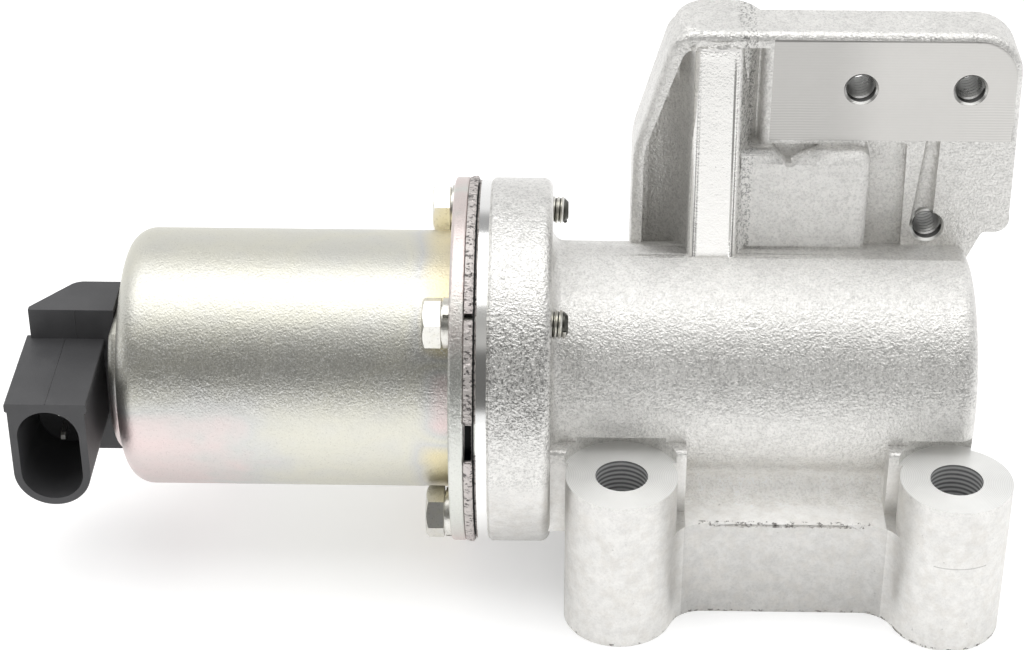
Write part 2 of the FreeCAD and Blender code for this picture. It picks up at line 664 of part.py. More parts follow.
def solenoid_can():
    """Drawn steel can with a raised, chord-cut plateau on its closed end."""
    inner_end = can_end_x + CAN_END_WALL
    cup = lathe([(can_end_x, 0, 0), (can_end_x, CAN_R, CAN_SHOULDER), (end_plate_face, CAN_R, 0),
                 (end_plate_face, can_inner_r, 0), (inner_end, can_inner_r, CAN_SHOULDER - CAN_WALL),
                 (inner_end, 0, 0)])
    face = can_end_x - PLATEAU_STEP
    plateau = Part.makeCylinder(PLATEAU_R, PLATEAU_STEP + ROOT, V(face, 0, AXIS_Z), X_AXIS)
    above = Part.makeBox(PLATEAU_STEP + ROOT, 2 * PLATEAU_R, PLATEAU_R, V(face, -PLATEAU_R, AXIS_Z + PLATEAU_CHORD))
    plateau = round_edges(plateau.cut(above), PLATEAU_EDGE, lambda box: box.XMax < face + PLATEAU_EDGE / 2)
    hole = Part.makeCylinder(NECK_R + NECK_GAP, inner_end - face, V(face, 0, AXIS_Z - NECK_DROP), X_AXIS)
    return cup.fuse(plateau).cut(hole)


def connector_housing():
    """Moulded connector: upright slab on the can, with the plug shroud towards the front."""
    right = can_end_x - PLATEAU_STEP
    left = right - SLAB_LENGTH
    slab = prism_z([(right, -SLAB_HALF, 0), (right, SLAB_BACK, 0), (left + SLAB_CORNER_X, SLAB_BACK, SLAB_CORNER_R),
                    (left, SLAB_BACK - SLAB_CORNER_Y, SLAB_EDGE), (left, -SLAB_HALF, 0)], SLAB_LOW, SLAB_TOP)
    neck = Part.makeCylinder(NECK_R, PLATEAU_STEP + CAN_END_WALL, V(right, 0, AXIS_Z - NECK_DROP), X_AXIS)
    front = -SLAB_HALF - SHROUD_LENGTH
    half = SHROUD_WIDTH / 2
    root = -SLAB_HALF + ROOT
    shroud = prism_y([(SHROUD_X - half, SHROUD_TOP, SLAB_EDGE), (SHROUD_X + half, SHROUD_TOP, SLAB_EDGE),
                      (SHROUD_X + half, SHROUD_LOW, half * 0.99), (SHROUD_X - half, SHROUD_LOW, half * 0.99)],
                     front, root)
    lip_half = half + SHROUD_LIP
    lip_top = SHROUD_TOP + SHROUD_LIP_RISE
    lip_low = SHROUD_TOP - SHROUD_LIP_T
    lip = prism_y([(SHROUD_X - lip_half, lip_top, 0.3), (SHROUD_X + lip_half, lip_top, 0.3),
                   (SHROUD_X + lip_half, lip_low, 0.3), (SHROUD_X - lip_half, lip_low, 0.3)], front, root)
    inner = half - SHROUD_WALL
    high = SHROUD_TOP - SHROUD_WALL
    low = SHROUD_LOW + SHROUD_WALL
    bend = inner * 0.99
    socket = prism_y([(SHROUD_X - inner, high, bend), (SHROUD_X + inner, high, bend), (SHROUD_X + inner, low, bend),
                      (SHROUD_X - inner, low, bend)], front - RUNOUT, front + SOCKET_DEPTH)
    body = slab.multiFuse([neck, shroud, lip]).cut(socket)
    for side in (-1, 1):
        body = body.cut(terminal(side, 0.0))
    return body


def terminal(side, point=TERMINAL_POINT):
    """Flat contact blade, rooted in the slab and pointing out of the socket."""
    root_y = -SLAB_HALF + TERMINAL_ROOT
    tip_y = -SLAB_HALF - SHROUD_LENGTH + SOCKET_DEPTH - TERMINAL_LENGTH
    z = TERMINAL_Z + side * TERMINAL_PITCH / 2
    low = z - TERMINAL_WIDTH / 2
    high = z + TERMINAL_WIDTH / 2
    outline = [(root_y, low, 0), (root_y, high, 0), (tip_y, high, 0), (tip_y, low, 0)]
    if point:
        outline[2:] = [(tip_y + point, high, 0), (tip_y, high - point / 2, 0), (tip_y, low + point / 2, 0),
                       (tip_y + point, low, 0)]
    return prism_x(outline, SHROUD_X - TERMINAL_T / 2, SHROUD_X + TERMINAL_T / 2)


def coil_bobbin():
    """Moulded spool around the armature tube."""
    bore = tube_r + BOBBIN_GAP
    barrel = bore + BOBBIN_WALL
    rim = can_inner_r - CAN_FIT
    left = coil_left + BOBBIN_CHEEK
    right = coil_right - BOBBIN_CHEEK
    return lathe([(coil_left, bore, 0), (coil_left, rim, BOBBIN_EDGE), (left, rim, 0), (left, barrel, 0),
                  (right, barrel, 0), (right, rim, 0), (coil_right, rim, BOBBIN_EDGE), (coil_right, bore, 0)])


def coil_winding():
    """Copper winding between the spool's cheeks."""
    barrel = tube_r + BOBBIN_GAP + BOBBIN_WALL
    return turned(coil_left + BOBBIN_CHEEK, coil_right - BOBBIN_CHEEK, winding_r, barrel)


def pole_core():
    """Fixed core: disc against the can's end and a plug in the tube, facing the armature."""
    disc_r = can_inner_r - CAN_SHOULDER + CAN_WALL
    core = lathe([(core_back, 0, 0), (core_back, disc_r, 0), (coil_left, disc_r, 0), (coil_left, TUBE_BORE_R, 0),
                  (core_face, TUBE_BORE_R, 0), (core_face, 0, 0)])
    recess = V(core_back - RUNOUT, 0, AXIS_Z - NECK_DROP)
    return core.cut(Part.makeCylinder(NECK_R + NECK_GAP, CORE_RECESS + RUNOUT, recess, X_AXIS))


def pole_plate():
    """Front flux washer around the tube."""
    return turned(coil_right, pole_face, can_inner_r, tube_r + POLE_PLATE_BORE_GAP)


def armature():
    """Sliding iron, with two breather grooves along its sides."""
    outer = TUBE_BORE_R - ARMATURE_GAP
    slug = lathe([(armature_left, 0, 0), (armature_left, outer, ARMATURE_EDGE), (armature_right, outer, ARMATURE_EDGE),
                  (armature_right, 0, 0)])
    slug = slug.cut(Part.makeCylinder(STEM_R, STEM_GRIP, V(armature_right - STEM_GRIP, 0, AXIS_Z), X_AXIS))
    for side in (-1, 1):
        start = V(armature_left - RUNOUT, 0, AXIS_Z + side * TUBE_BORE_R)
        slug = slug.cut(Part.makeCylinder(ARMATURE_SLOT_R, ARMATURE_LENGTH + 2 * RUNOUT, start, X_AXIS))
    return slug


def valve_stem():
    """Ground stem from the armature to the poppet."""
    left = armature_right - STEM_GRIP
    right = seat_face + POPPET_T + STEM_TIP
    stem = Part.makeCylinder(STEM_R, right - left, V(left, 0, AXIS_Z), X_AXIS)
    tip = [edge for edge in stem.Edges if edge.BoundBox.XMin > right - STEM_POINT]
    return stem.makeChamfer(STEM_POINT, tip)


def poppet():
    """Valve disc with its conical seating edge and a hub on the stem."""
    face = seat_face - POPPET_SEAT_GAP
    seat_edge = SEAT_ORIFICE_R + SEAT_CHAMFER
    depth = 2 * (POPPET_R - seat_edge)
    back = face - POPPET_T
    hub = back - POPPET_HUB_LENGTH
    return lathe([(hub, STEM_R, 0), (hub, POPPET_HUB_R, 0.6), (back, POPPET_HUB_R, 1.2), (back, POPPET_R, 0.4),
                  (face - depth / 2, POPPET_R, 0), (face + depth / 2, POPPET_R - depth, 0),
                  (face + depth / 2, STEM_R, 0)])


def spring_retainer():
    """Cupped washer pressed on the stem, which the return spring pushes on."""
    face = FLANGE_X + RETAINER_FACE
    return lathe([(face, STEM_R, 0), (face, RETAINER_R, 0.3), (face + RETAINER_T, RETAINER_R, 0.3),
                  (face + RETAINER_T, RETAINER_HUB_R, 0.6), (face + RETAINER_HUB_LENGTH, RETAINER_HUB_R, 0.3),
                  (face + RETAINER_HUB_LENGTH, STEM_R, 0)])


def return_spring():
    """Coil spring between the end plate and the retainer, at its fitted length."""
    left = gasket_face + SPRING_WIRE_R
    right = FLANGE_X + RETAINER_FACE - SPRING_WIRE_R
    pitch = (right - left) / SPRING_TURNS
    helix = Part.makeHelix(pitch, right - left, SPRING_R)
    section = Part.Wire([Part.makeCircle(SPRING_WIRE_R, V(SPRING_R, 0, 0), Y_AXIS)])
    coil = Part.Wire(helix.Edges).makePipeShell([section], True, True)
    coil.rotate(V(0, 0, 0), Y_AXIS, 90)
    coil.translate(V(left, 0, AXIS_Z))
    return coil


def write(name, shape):
    """One STEP file per piece, with a note of its size."""
    solids = shape.Solids
    shape = solids[0] if len(solids) == 1 else Part.makeCompound(solids)
    shape.exportStep(f"parts/{name}.step")
    print(name, len(solids), "solid(s)", round(shape.Volume), "mm3", "valid" if shape.isValid() else "NOT VALID")


os.makedirs("parts", exist_ok=True)
pieces = {
    "valve_body": valve_body(),
    "valve_seat": valve_seat(),
    "stem_guide_bush": stem_guide(),
    "stem_seal": stem_seal(),
    "spacer_ring": spacer_ring(),
    "flange_gasket": flange_gasket(),
    "end_plate": end_plate(),
    "clamp_plate": clamp_plate(),
    "solenoid_can": solenoid_can(),
    "can_seal_ring": turned(pole_face, end_plate_face, can_inner_r, can_inner_r - SEAL_WIDTH),
    "connector_housing": connector_housing(),
    "terminal_upper": terminal(1),
    "terminal_lower": terminal(-1),
    "coil_bobbin": coil_bobbin(),
    "coil_winding": coil_winding(),
    "pole_core": pole_core(),
    "pole_plate": pole_plate(),
    "armature_tube": turned(coil_left, end_plate_face, tube_r, TUBE_BORE_R),
    "armature": armature(),
    "valve_stem": valve_stem(),
    "poppet": poppet(),
    "spring_retainer": spring_retainer(),
    "return_spring": return_spring(),
}
for number, angle in enumerate(SCREW_ANGLES, 1):
    pieces[f"flange_screw_{number}"] = flange_screw(angle)
    pieces[f"lock_washer_{number}"] = lock_washer(angle)
for name, shape in pieces.items():
    write(name, shape)
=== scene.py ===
"""Exhaust gas valve: finishes, threads, casting marks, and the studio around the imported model."""
import json
import math
import random
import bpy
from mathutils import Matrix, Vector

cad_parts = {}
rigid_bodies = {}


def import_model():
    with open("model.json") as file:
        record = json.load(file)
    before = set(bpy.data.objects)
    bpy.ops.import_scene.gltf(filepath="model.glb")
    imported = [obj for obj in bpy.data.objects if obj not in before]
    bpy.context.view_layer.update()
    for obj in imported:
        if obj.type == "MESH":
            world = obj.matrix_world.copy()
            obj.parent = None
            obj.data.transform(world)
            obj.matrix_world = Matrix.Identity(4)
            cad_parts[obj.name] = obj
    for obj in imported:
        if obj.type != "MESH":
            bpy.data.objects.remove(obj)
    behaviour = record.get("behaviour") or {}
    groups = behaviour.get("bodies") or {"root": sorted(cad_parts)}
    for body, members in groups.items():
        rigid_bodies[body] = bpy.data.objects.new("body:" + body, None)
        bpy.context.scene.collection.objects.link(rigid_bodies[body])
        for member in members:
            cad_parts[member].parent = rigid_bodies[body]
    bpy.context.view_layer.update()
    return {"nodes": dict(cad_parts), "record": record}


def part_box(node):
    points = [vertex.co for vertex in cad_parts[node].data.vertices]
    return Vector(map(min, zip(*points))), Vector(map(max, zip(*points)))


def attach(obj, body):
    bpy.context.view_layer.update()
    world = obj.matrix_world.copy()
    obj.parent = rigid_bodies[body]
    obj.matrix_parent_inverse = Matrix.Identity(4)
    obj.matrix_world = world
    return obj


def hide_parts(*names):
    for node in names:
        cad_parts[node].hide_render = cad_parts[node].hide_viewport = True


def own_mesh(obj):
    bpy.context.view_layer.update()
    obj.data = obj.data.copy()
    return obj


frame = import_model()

from types import SimpleNamespace

import bmesh
import bpy
from mathutils import Matrix, Vector
from mathutils.kdtree import KDTree

bl_info = {
    "name": "Exhaust gas valve",
    "version": (1, 0, 0),
    "blender": (4, 5, 0),
    "location": "View3D > Sidebar > Valve",
    "description": "Finishes, threads and studio for a solenoid exhaust gas valve",
    "category": "Object",
}

MM = 0.001
MOUNTS = {mount["name"]: mount for mount in frame["record"]["mounts"]}


def mount_point(name):
    return Vector(MOUNTS[name]["pos_m"])


def mount_radius(name):
    return MOUNTS[name]["dims"]["r_mm"] * MM


def node_box(name):
    low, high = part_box(name)
    return Vector(low), Vector(high)


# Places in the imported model
CAN_LOW, CAN_HIGH = node_box("solenoid_can")
PLUG_LOW, PLUG_HIGH = node_box("connector_housing")
WASHER_LOW, WASHER_HIGH = node_box("lock_washer_1")
SCREW_HIGH = node_box("flange_screw_1")[1]
END_PLATE_LOW, END_PLATE_HIGH = node_box("end_plate")
AXIS_Z = (CAN_LOW.z + CAN_HIGH.z) / 2
BOSS_X, BOSS_Y, BOSS_TOP = mount_point("bolt_hole_right")
BOLT_HOLE_R = mount_radius("bolt_hole_right")
EAR_Y, EAR_TOP = mount_point("bolt_hole_rear").yz
PORT_X = mount_point("gas_inlet").x
PORT_R = mount_radius("gas_inlet")
TAPS = [mount_point(name) for name in ("pad_thread_left", "pad_thread_right", "low_thread")]
TAP_R = mount_radius("low_thread")
SCREW_MIDDLE = (WASHER_LOW + WASHER_HIGH) / 2
SCREW_R = 2.5 * MM

# Casting: barrel, flange, bosses and web
BARREL_R = 21.3 * MM
BARREL_TOP = AXIS_Z + BARREL_R
FLANGE_RIGHT = -40.7 * MM
FLANGE_REACH = END_PLATE_HIGH.y + 0.5 * MM
SPOTFACE_R = 10.3 * MM
EAR_FACE_R = 8.5 * MM
LEDGE_Z = 19.2 * MM
LEDGE_HALF = 17.3 * MM
WEB_Y = -27.3 * MM
WEB_LINE_HALF = 15 * MM

# Casting: bracket
BRACKET_TOP = node_box("valve_body")[1].z
BRACKET_FRONT = 7.5 * MM
BRACKET_LEFT = -27.0 * MM
BRACKET_LEFT_TOP = -20.5 * MM
BRACKET_RIGHT = 38.9 * MM
BRACKET_BEND = BRACKET_TOP - 22.7 * MM
COLUMN_LEFT = -17.2 * MM
COLUMN_RIGHT = -7.6 * MM
FLANK_LEFT = -9.8 * MM
FLANK_RIGHT = -8.6 * MM
PAD_LEFT = -3.6 * MM
PAD_LOW = TAPS[0].z - 9.8 * MM
PAD_FRONT = min(tap.y for tap in TAPS) - 1.0 * MM
BLOCK_LEFT = -8.5 * MM
BLOCK_RIGHT = 14.2 * MM
BLOCK_FRONT = 6 * MM
BLOCK_TOP = TAPS[0].z - 10.9 * MM

# Plug and plates
SHROUD_TOP = 41.4 * MM
SLAB_FRONT = -5.5 * MM
SLOT_ANGLE = 6.3
NICK_ANGLE = 45.0

SKIN = 0.06 * MM        # how far past its face a finish reaches
TURN = 2 * math.pi


# Sockets and materials

class Wire:
    """An output socket of a shader tree; sums on it make Math nodes."""

    def __init__(self, tree, socket):
        self.tree = tree
        self.socket = socket

    def math(self, operation, *values):
        node = self.tree.nodes.new("ShaderNodeMath")
        node.operation = operation
        for place, value in zip(node.inputs, values):
            plug_in(self.tree, value, place)
        return Wire(self.tree, node.outputs[0])

    def __add__(self, other):
        return self.math("ADD", self, other)

    __radd__ = __add__

    def __sub__(self, other):
        return self.math("SUBTRACT", self, other)

    def __rsub__(self, other):
        return self.math("SUBTRACT", other, self)

    def __mul__(self, other):
        return self.math("MULTIPLY", self, other)

    __rmul__ = __mul__

    def __truediv__(self, other):
        return self.math("DIVIDE", self, other)

    def __abs__(self):
        return self.math("ABSOLUTE", self)

    def sine(self):
        return self.math("SINE", self)

    def root(self):
        return self.math("SQRT", self)

    def below(self, limit):
        return self.math("LESS_THAN", self, limit)

    def above(self, limit):
        return self.math("GREATER_THAN", self, limit)

    def at(self, value, width=SKIN):
        return self.math("COMPARE", self, value, width)

    def largest(self, other):
        return self.math("MAXIMUM", self, other)

    def smallest(self, other):
        return self.math("MINIMUM", self, other)

    def step(self, low, high):
        """Smooth rise from 0 at low to 1 at high, or a fall where low is the larger."""
        node = self.tree.nodes.new("ShaderNodeMapRange")
        node.interpolation_type = "SMOOTHSTEP"
        start, end = (0, 1) if low < high else (1, 0)
        for place, value in zip(node.inputs, (self, min(low, high), max(low, high), start, end)):
            plug_in(self.tree, value, place)
        return Wire(self.tree, node.outputs[0])


def plug_in(tree, value, place):
    if isinstance(value, Wire):
        tree.links.new(value.socket, place)
    else:
        place.default_value = value


def distance(u, v):
    return (u * u + v * v).root()


def rgba(colour):
    return (*colour[:3], 1.0)


class Finish:
    """A material or world in the making, with Object coordinates to hand."""

    def __init__(self, name, tree=None):
        self.material = None
        if tree is None:
            self.material = bpy.data.materials.new(name)
            self.material.use_nodes = True
            tree = self.material.node_tree
        tree.nodes.clear()
        self.tree = tree
        if self.material is not None:
            self.place = self.node("ShaderNodeTexCoord", output="Object")
            parts = self.node("ShaderNodeSeparateXYZ", {}, {"Vector": self.place}, every=True)
            self.x, self.y, self.z = parts

    def node(self, kind, settings=None, sockets=None, output=0, every=False):
        node = self.tree.nodes.new(kind)
        for key, value in (settings or {}).items():
            if key == "stops":
                ramp = node.color_ramp
                while len(ramp.elements) < len(value):
                    ramp.elements.new(0.5)
                for element, (position, colour) in zip(ramp.elements, value):
                    element.position = position
                    element.color = rgba(colour)
            else:
                setattr(node, key, value)
        for key, value in (sockets or {}).items():
            plug_in(self.tree, value, node.inputs[key])
        if every:
            return [Wire(self.tree, socket) for socket in node.outputs]
        return Wire(self.tree, node.outputs[output])

    def stretched(self, x=1.0, y=1.0, z=1.0):
        return self.node("ShaderNodeMapping", {}, {"Vector": self.place, "Scale": (x, y, z)})

    def noise(self, size, detail=3.0, rough=0.5, vector=None, seed=0.0):
        """Noise whose features are about size across, from 0 to 1."""
        sockets = {"Vector": vector or self.place, "Scale": 1 / size, "Detail": detail, "Roughness": rough,
                   "W": seed}
        return self.node("ShaderNodeTexNoise", {"noise_dimensions": "4D"}, sockets)

    def ramp(self, value, stops):
        return self.node("ShaderNodeValToRGB", {"stops": stops}, {"Fac": value})

    def mix(self, factor, a, b, blend="MIX"):
        """Two colours, the second one by the factor."""
        a = rgba(a) if isinstance(a, (tuple, list)) or hasattr(a, "r") else a
        b = rgba(b) if isinstance(b, (tuple, list)) or hasattr(b, "r") else b
        settings = {"data_type": "RGBA", "blend_type": blend}
        return self.node("ShaderNodeMix", settings, {0: factor, 6: a, 7: b}, output=2)

    def grey(self, level):
        return self.node("ShaderNodeCombineColor", {}, {0: level, 1: level, 2: level})

    def toned(self, colour, level):
        """A colour times a level that varies."""
        return self.mix(1.0, colour, self.grey(level), "MULTIPLY")

    def blend(self, factor, a, b):
        """Two numbers, the second one by the factor."""
        return a + (b - a) * factor if isinstance(b, Wire) or isinstance(a, Wire) else factor * (b - a) + a

    def bump(self, height, strength=1.0, normal=None):
        """Normal from a height in metres."""
        sockets = {"Strength": strength, "Distance": 1.0, "Height": height}
        if normal is not None:
            sockets["Normal"] = normal
        return self.node("ShaderNodeBump", {}, sockets)

    def surface(self, shader):
        kind = "ShaderNodeOutputMaterial" if self.material is not None else "ShaderNodeOutputWorld"
        node = self.tree.nodes.new(kind)
        self.tree.links.new(shader.socket, node.inputs["Surface"])
        return self.material

    def principled(self, colour, roughness, metallic=0.0, normal=None, **fixed):
        sockets = {"Base Color": rgba(colour) if not isinstance(colour, Wire) else colour,
                   "Roughness": roughness, "Metallic": metallic}
        if normal is not None:
            sockets["Normal"] = normal
        for key, value in fixed.items():
            sockets[key.replace("_", " ")] = value
        return self.surface(self.node("ShaderNodeBsdfPrincipled", {}, sockets))


def dress(material, *names):
    """Gives CAD nodes a finish through their own slots."""
    for name in names:
        piece = frame["nodes"][name]
        for place in piece.material_slots:
            place.material = material


# Meshes

def mesh_from(name, build):
    """A mesh from a bmesh that build fills."""
    form = bmesh.new()
    build(form)
    mesh = bpy.data.meshes.new(name)
    form.to_mesh(mesh)
    form.free()
    return mesh


def add_object(name, data):
    piece = bpy.data.objects.new(name, data)
    bpy.context.scene.collection.objects.link(piece)
    return piece


def finished_mesh(piece):
    """The piece's mesh with its modifiers applied."""
    seen = piece.evaluated_get(bpy.context.evaluated_depsgraph_get())
    return bpy.data.meshes.new_from_object(seen)


def new_piece(name, build, material, body):
    return settle(add_object(name, mesh_from(name, build)), material, body)


def settle(piece, material, body, replaced=()):
    mesh = piece.data
    mesh.materials.clear()
    mesh.materials.append(material)
    for face in mesh.polygons:
        face.use_smooth = True
    mesh.set_sharp_from_angle(angle=math.radians(35))
    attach(piece, body)
    if replaced:
        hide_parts(*replaced)
    return piece


def rings_of(form, rings):
    """Closed skin over rings of points, capped at both ends."""
    rows = [[form.verts.new(point) for point in ring] for ring in rings]
    count = len(rows[0])
    for near, far in zip(rows, rows[1:]):
        for i in range(count):
            form.faces.new((near[i], near[(i + 1) % count], far[(i + 1) % count], far[i]))
    form.faces.new(list(reversed(rows[0])))
    form.faces.new(rows[-1])


class NodeForm:
    """A Geometry Nodes tree in the making."""

    def __init__(self, name, inputs):
        self.tree = bpy.data.node_groups.new(name, "GeometryNodeTree")
        face = self.tree.interface
        face.new_socket("Geometry", in_out="INPUT", socket_type="NodeSocketGeometry")
        self.ids = {}
        for label, kind in inputs:
            self.ids[label] = face.new_socket(label, in_out="INPUT", socket_type=kind).identifier
        face.new_socket("Geometry", in_out="OUTPUT", socket_type="NodeSocketGeometry")
        source = self.tree.nodes.new("NodeGroupInput")
        self.given = {socket.name: Wire(self.tree, socket) for socket in source.outputs if socket.name}

    def node(self, kind, settings=None, sockets=None, output=0):
        node = self.tree.nodes.new(kind)
        for key, value in (settings or {}).items():
            setattr(node, key, value)
        for key, value in (sockets or {}).items():
            plug_in(self.tree, value, node.inputs[key])
        return Wire(self.tree, node.outputs[output])

    def join(self, *parts):
        node = self.tree.nodes.new("GeometryNodeJoinGeometry")
        for part in parts:
            self.tree.links.new(part.socket, node.inputs[0])
        return Wire(self.tree, node.outputs[0])

    def end(self, geometry):
        real = self.node("GeometryNodeRealizeInstances", {}, {"Geometry": geometry})
        coated = self.node("GeometryNodeSetMaterial", {},
                           {"Geometry": real, "Material": self.given["Material"]})
        out = self.tree.nodes.new("NodeGroupOutput")
        self.tree.links.new(coated.socket, out.inputs[0])

    def make(self, name, mesh, values):
        """Plain mesh object from the tree, run on a mesh with these input values."""
        carrier = add_object(name + "_carrier", mesh)
        modifier = carrier.modifiers.new("Nodes", "NODES")
        modifier.node_group = self.tree
        for label, value in values.items():
            modifier[self.ids[label]] = value
        bpy.context.view_layer.update()
        result = finished_mesh(carrier)
        bpy.data.objects.remove(carrier)
        return add_object(name, result)


def thread_ridge(form, radius, pitch, length, depth):
    """Helical ridge about Z, from z = 0 up."""
    spiral = form.node("GeometryNodeCurveSpiral", {}, {
        "Resolution": 28, "Rotations": length / pitch, "Start Radius": radius, "End Radius": radius,
        "Height": length})
    upright = form.node("GeometryNodeSetCurveNormal", {"mode": "Z_UP"}, {"Curve": spiral})
    section = form.node("GeometryNodeCurvePrimitiveCircle", {"mode": "RADIUS"},
                        {"Resolution": 4, "Radius": depth})
    return form.node("GeometryNodeCurveToMesh", {},
                     {"Curve": upright, "Profile Curve": section, "Fill Caps": True})


# Settings

def colour_setting(name, text, default):
    return bpy.props.FloatVectorProperty(name=name, description=text, subtype="COLOR", size=3, min=0, max=1,
                                         default=default)


def length_setting(name, text, default):
    return bpy.props.FloatProperty(name=name, description=text, unit="LENGTH", min=0, default=default,
                                   precision=5)


def share_setting(name, text, default):
    return bpy.props.FloatProperty(name=name, description=text, subtype="FACTOR", min=0, max=1,
                                   default=default)


def angle_setting(name, text, degrees):
    return bpy.props.FloatProperty(name=name, description=text, subtype="ANGLE",
                                   default=math.radians(degrees))


class ValveCasting(bpy.types.PropertyGroup):
    cast: colour_setting("Cast skin", "Colour of the sand-textured aluminium", (0.91, 0.90, 0.875))
    machined: colour_setting("Machined faces", "Colour of the freshly cut aluminium", (0.88, 0.88, 0.86))
    milled: colour_setting("Milled pad", "Colour of the milled pad on the bracket", (0.57, 0.56, 0.54))
    # Stains, and the painted shade in the gaps along the web's lip and the foot's front edge.
    stain: colour_setting("Stains", "Colour of pores and flash marks", (0.16, 0.15, 0.14))
    grain: length_setting("Grain", "Size of the sand grain", 0.42 * MM)
    grain_height: length_setting("Grain height", "Depth of the sand grain", 0.30 * MM)
    ring_pitch: length_setting("Cutter pitch", "Distance between cutter marks on machined faces", 0.30 * MM)


class ValveCan(bpy.types.PropertyGroup):
    zinc: colour_setting("Zinc", "Colour of the plated steel", (0.67, 0.67, 0.65))
    yellow: colour_setting("Yellow bloom", "Chromate bloom near the flange", (0.84, 0.76, 0.52))
    pale: colour_setting("Pale bloom", "Pale yellow-green bloom", (0.73, 0.72, 0.64))
    pink: colour_setting("Pink bloom", "Peach-pink bloom at the ends", (0.81, 0.65, 0.64))
    plate: colour_setting("Clamp plate", "Colour of the plate at the mouth of the can", (0.72, 0.73, 0.69))
    grain: length_setting("Grain", "Size of the satin grain", 0.36 * MM)
    grain_height: length_setting("Grain height", "Depth of the satin grain", 0.09 * MM)
    bloom_size: length_setting("Bloom size", "Size of the patches of colour", 16.0 * MM)


class ValvePlates(bpy.types.PropertyGroup):
    ring: colour_setting("Ring", "Colour of the polished ring", (0.95, 0.95, 0.94))
    sheet: colour_setting("Sheet", "Colour of the sheared plate", (0.66, 0.62, 0.60))
    gasket: colour_setting("Gasket", "Colour of the gasket", (0.03, 0.03, 0.03))


class ValveScrews(bpy.types.PropertyGroup):
    zinc: colour_setting("Zinc", "Colour of the screws", (0.77, 0.76, 0.72))
    across_flats: length_setting("Across flats", "Width of the hexagon", 8.0 * MM)
    head_height: length_setting("Head height", "Height of the hexagon head", 3.5 * MM)
    pitch: length_setting("Thread pitch", "Pitch of the screw thread", 0.8 * MM)
    thread_depth: length_setting("Thread depth", "Height of the screw thread", 0.42 * MM)
    tap_pitch: length_setting("Tapped pitch", "Pitch of the threads in the bracket", 1.0 * MM)
    tap_depth: length_setting("Tapped depth", "Height of the threads in the bracket", 0.30 * MM)


class ValvePlastic(bpy.types.PropertyGroup):
    shell: colour_setting("Plug housing", "Colour of the moulded plug housing", (0.055, 0.055, 0.058))
    contact: colour_setting("Contacts", "Colour of the tinned blades", (0.75, 0.74, 0.70))
    spool: colour_setting("Spool", "Colour of the coil spool", (0.45, 0.38, 0.26))
    copper: colour_setting("Winding", "Colour of the enamelled wire", (0.55, 0.20, 0.08))


class ValveStage(bpy.types.PropertyGroup):
    floor: colour_setting("Floor", "Colour of the floor", (0.86, 0.86, 0.86))
    lamp_level: bpy.props.FloatProperty(
        name="Lamp level", description="Brightness of the ceiling lamp as metal shows it", min=0,
        default=1.45)
    ambient: share_setting("Ambient", "Level of the light from all round", 0.65)
    azimuth: angle_setting("Azimuth", "Camera turn from the front", 1.2)
    elevation: angle_setting("Elevation", "Camera angle above the horizon", 32.0)
    distance: length_setting("Distance", "Camera distance from its aim", 450.0 * MM)
    lens: bpy.props.FloatProperty(
        name="Lens", description="Focal length on a 36 mm sensor", min=1, default=89.2)
    aim: bpy.props.FloatVectorProperty(
        name="Aim", description="Point that the camera looks at", size=3, subtype="TRANSLATION",
        default=(-47.8 * MM, 0.0, 42.1 * MM))


# Finishes

def side_band(f):
    """Radius and rise round the valve's axis, and a mask of the front where the metal's reflection is
    darkest, for painted shade.
    """
    radius = distance(f.y, f.z - AXIS_Z)
    rise = (f.z - AXIS_Z) / radius
    return radius, rise, rise.step(0.05, 0.3) * rise.step(0.78, 0.6) * f.y.below(0)


def cut_areas(f):
    """Masks of the casting's cut faces: 1 inside, 0 outside."""
    x, y, z = f.x, f.y, f.z
    boss_r = distance(abs(x) - BOSS_X, y - BOSS_Y)
    ear_r = distance(x, y - EAR_Y)
    port_r = distance(abs(x) - PORT_X, y)
    tap_r = distance(x - TAPS[0].x, z - TAPS[0].z)
    for tap in TAPS[1:]:
        tap_r = tap_r.smallest(distance(x - tap.x, z - tap.z))
    in_bracket = z.above(AXIS_Z) * y.above(BRACKET_FRONT - 1.2 * MM)
    cut = SimpleNamespace(boss_r=boss_r, hole_r=boss_r.smallest(ear_r))
    cut.boss_face = z.at(BOSS_TOP) * boss_r.below(SPOTFACE_R)
    cut.bolt_wall = cut.hole_r.below(BOLT_HOLE_R + SKIN) * z.below(BOSS_TOP - SKIN / 2)
    cut.pad = y.at(PAD_FRONT) * z.above(PAD_LOW) * x.above(PAD_LEFT)
    # Painted shade: the walls of the tapped holes.
    cut.thread_wall = tap_r.below(TAP_R + 0.05 * MM) * in_bracket
    ear_face = z.at(EAR_TOP) * ear_r.below(EAR_FACE_R)
    taps = tap_r.below(TAP_R + 0.55 * MM) * in_bracket
    ports = port_r.below(PORT_R + SKIN) * z.below(LEDGE_Z + 4 * MM)
    cut.every = z.below(0.05 * MM)
    for area in (cut.boss_face, cut.bolt_wall, ear_face, cut.pad, taps, ports):
        cut.every = cut.every.largest(area)
    return cut


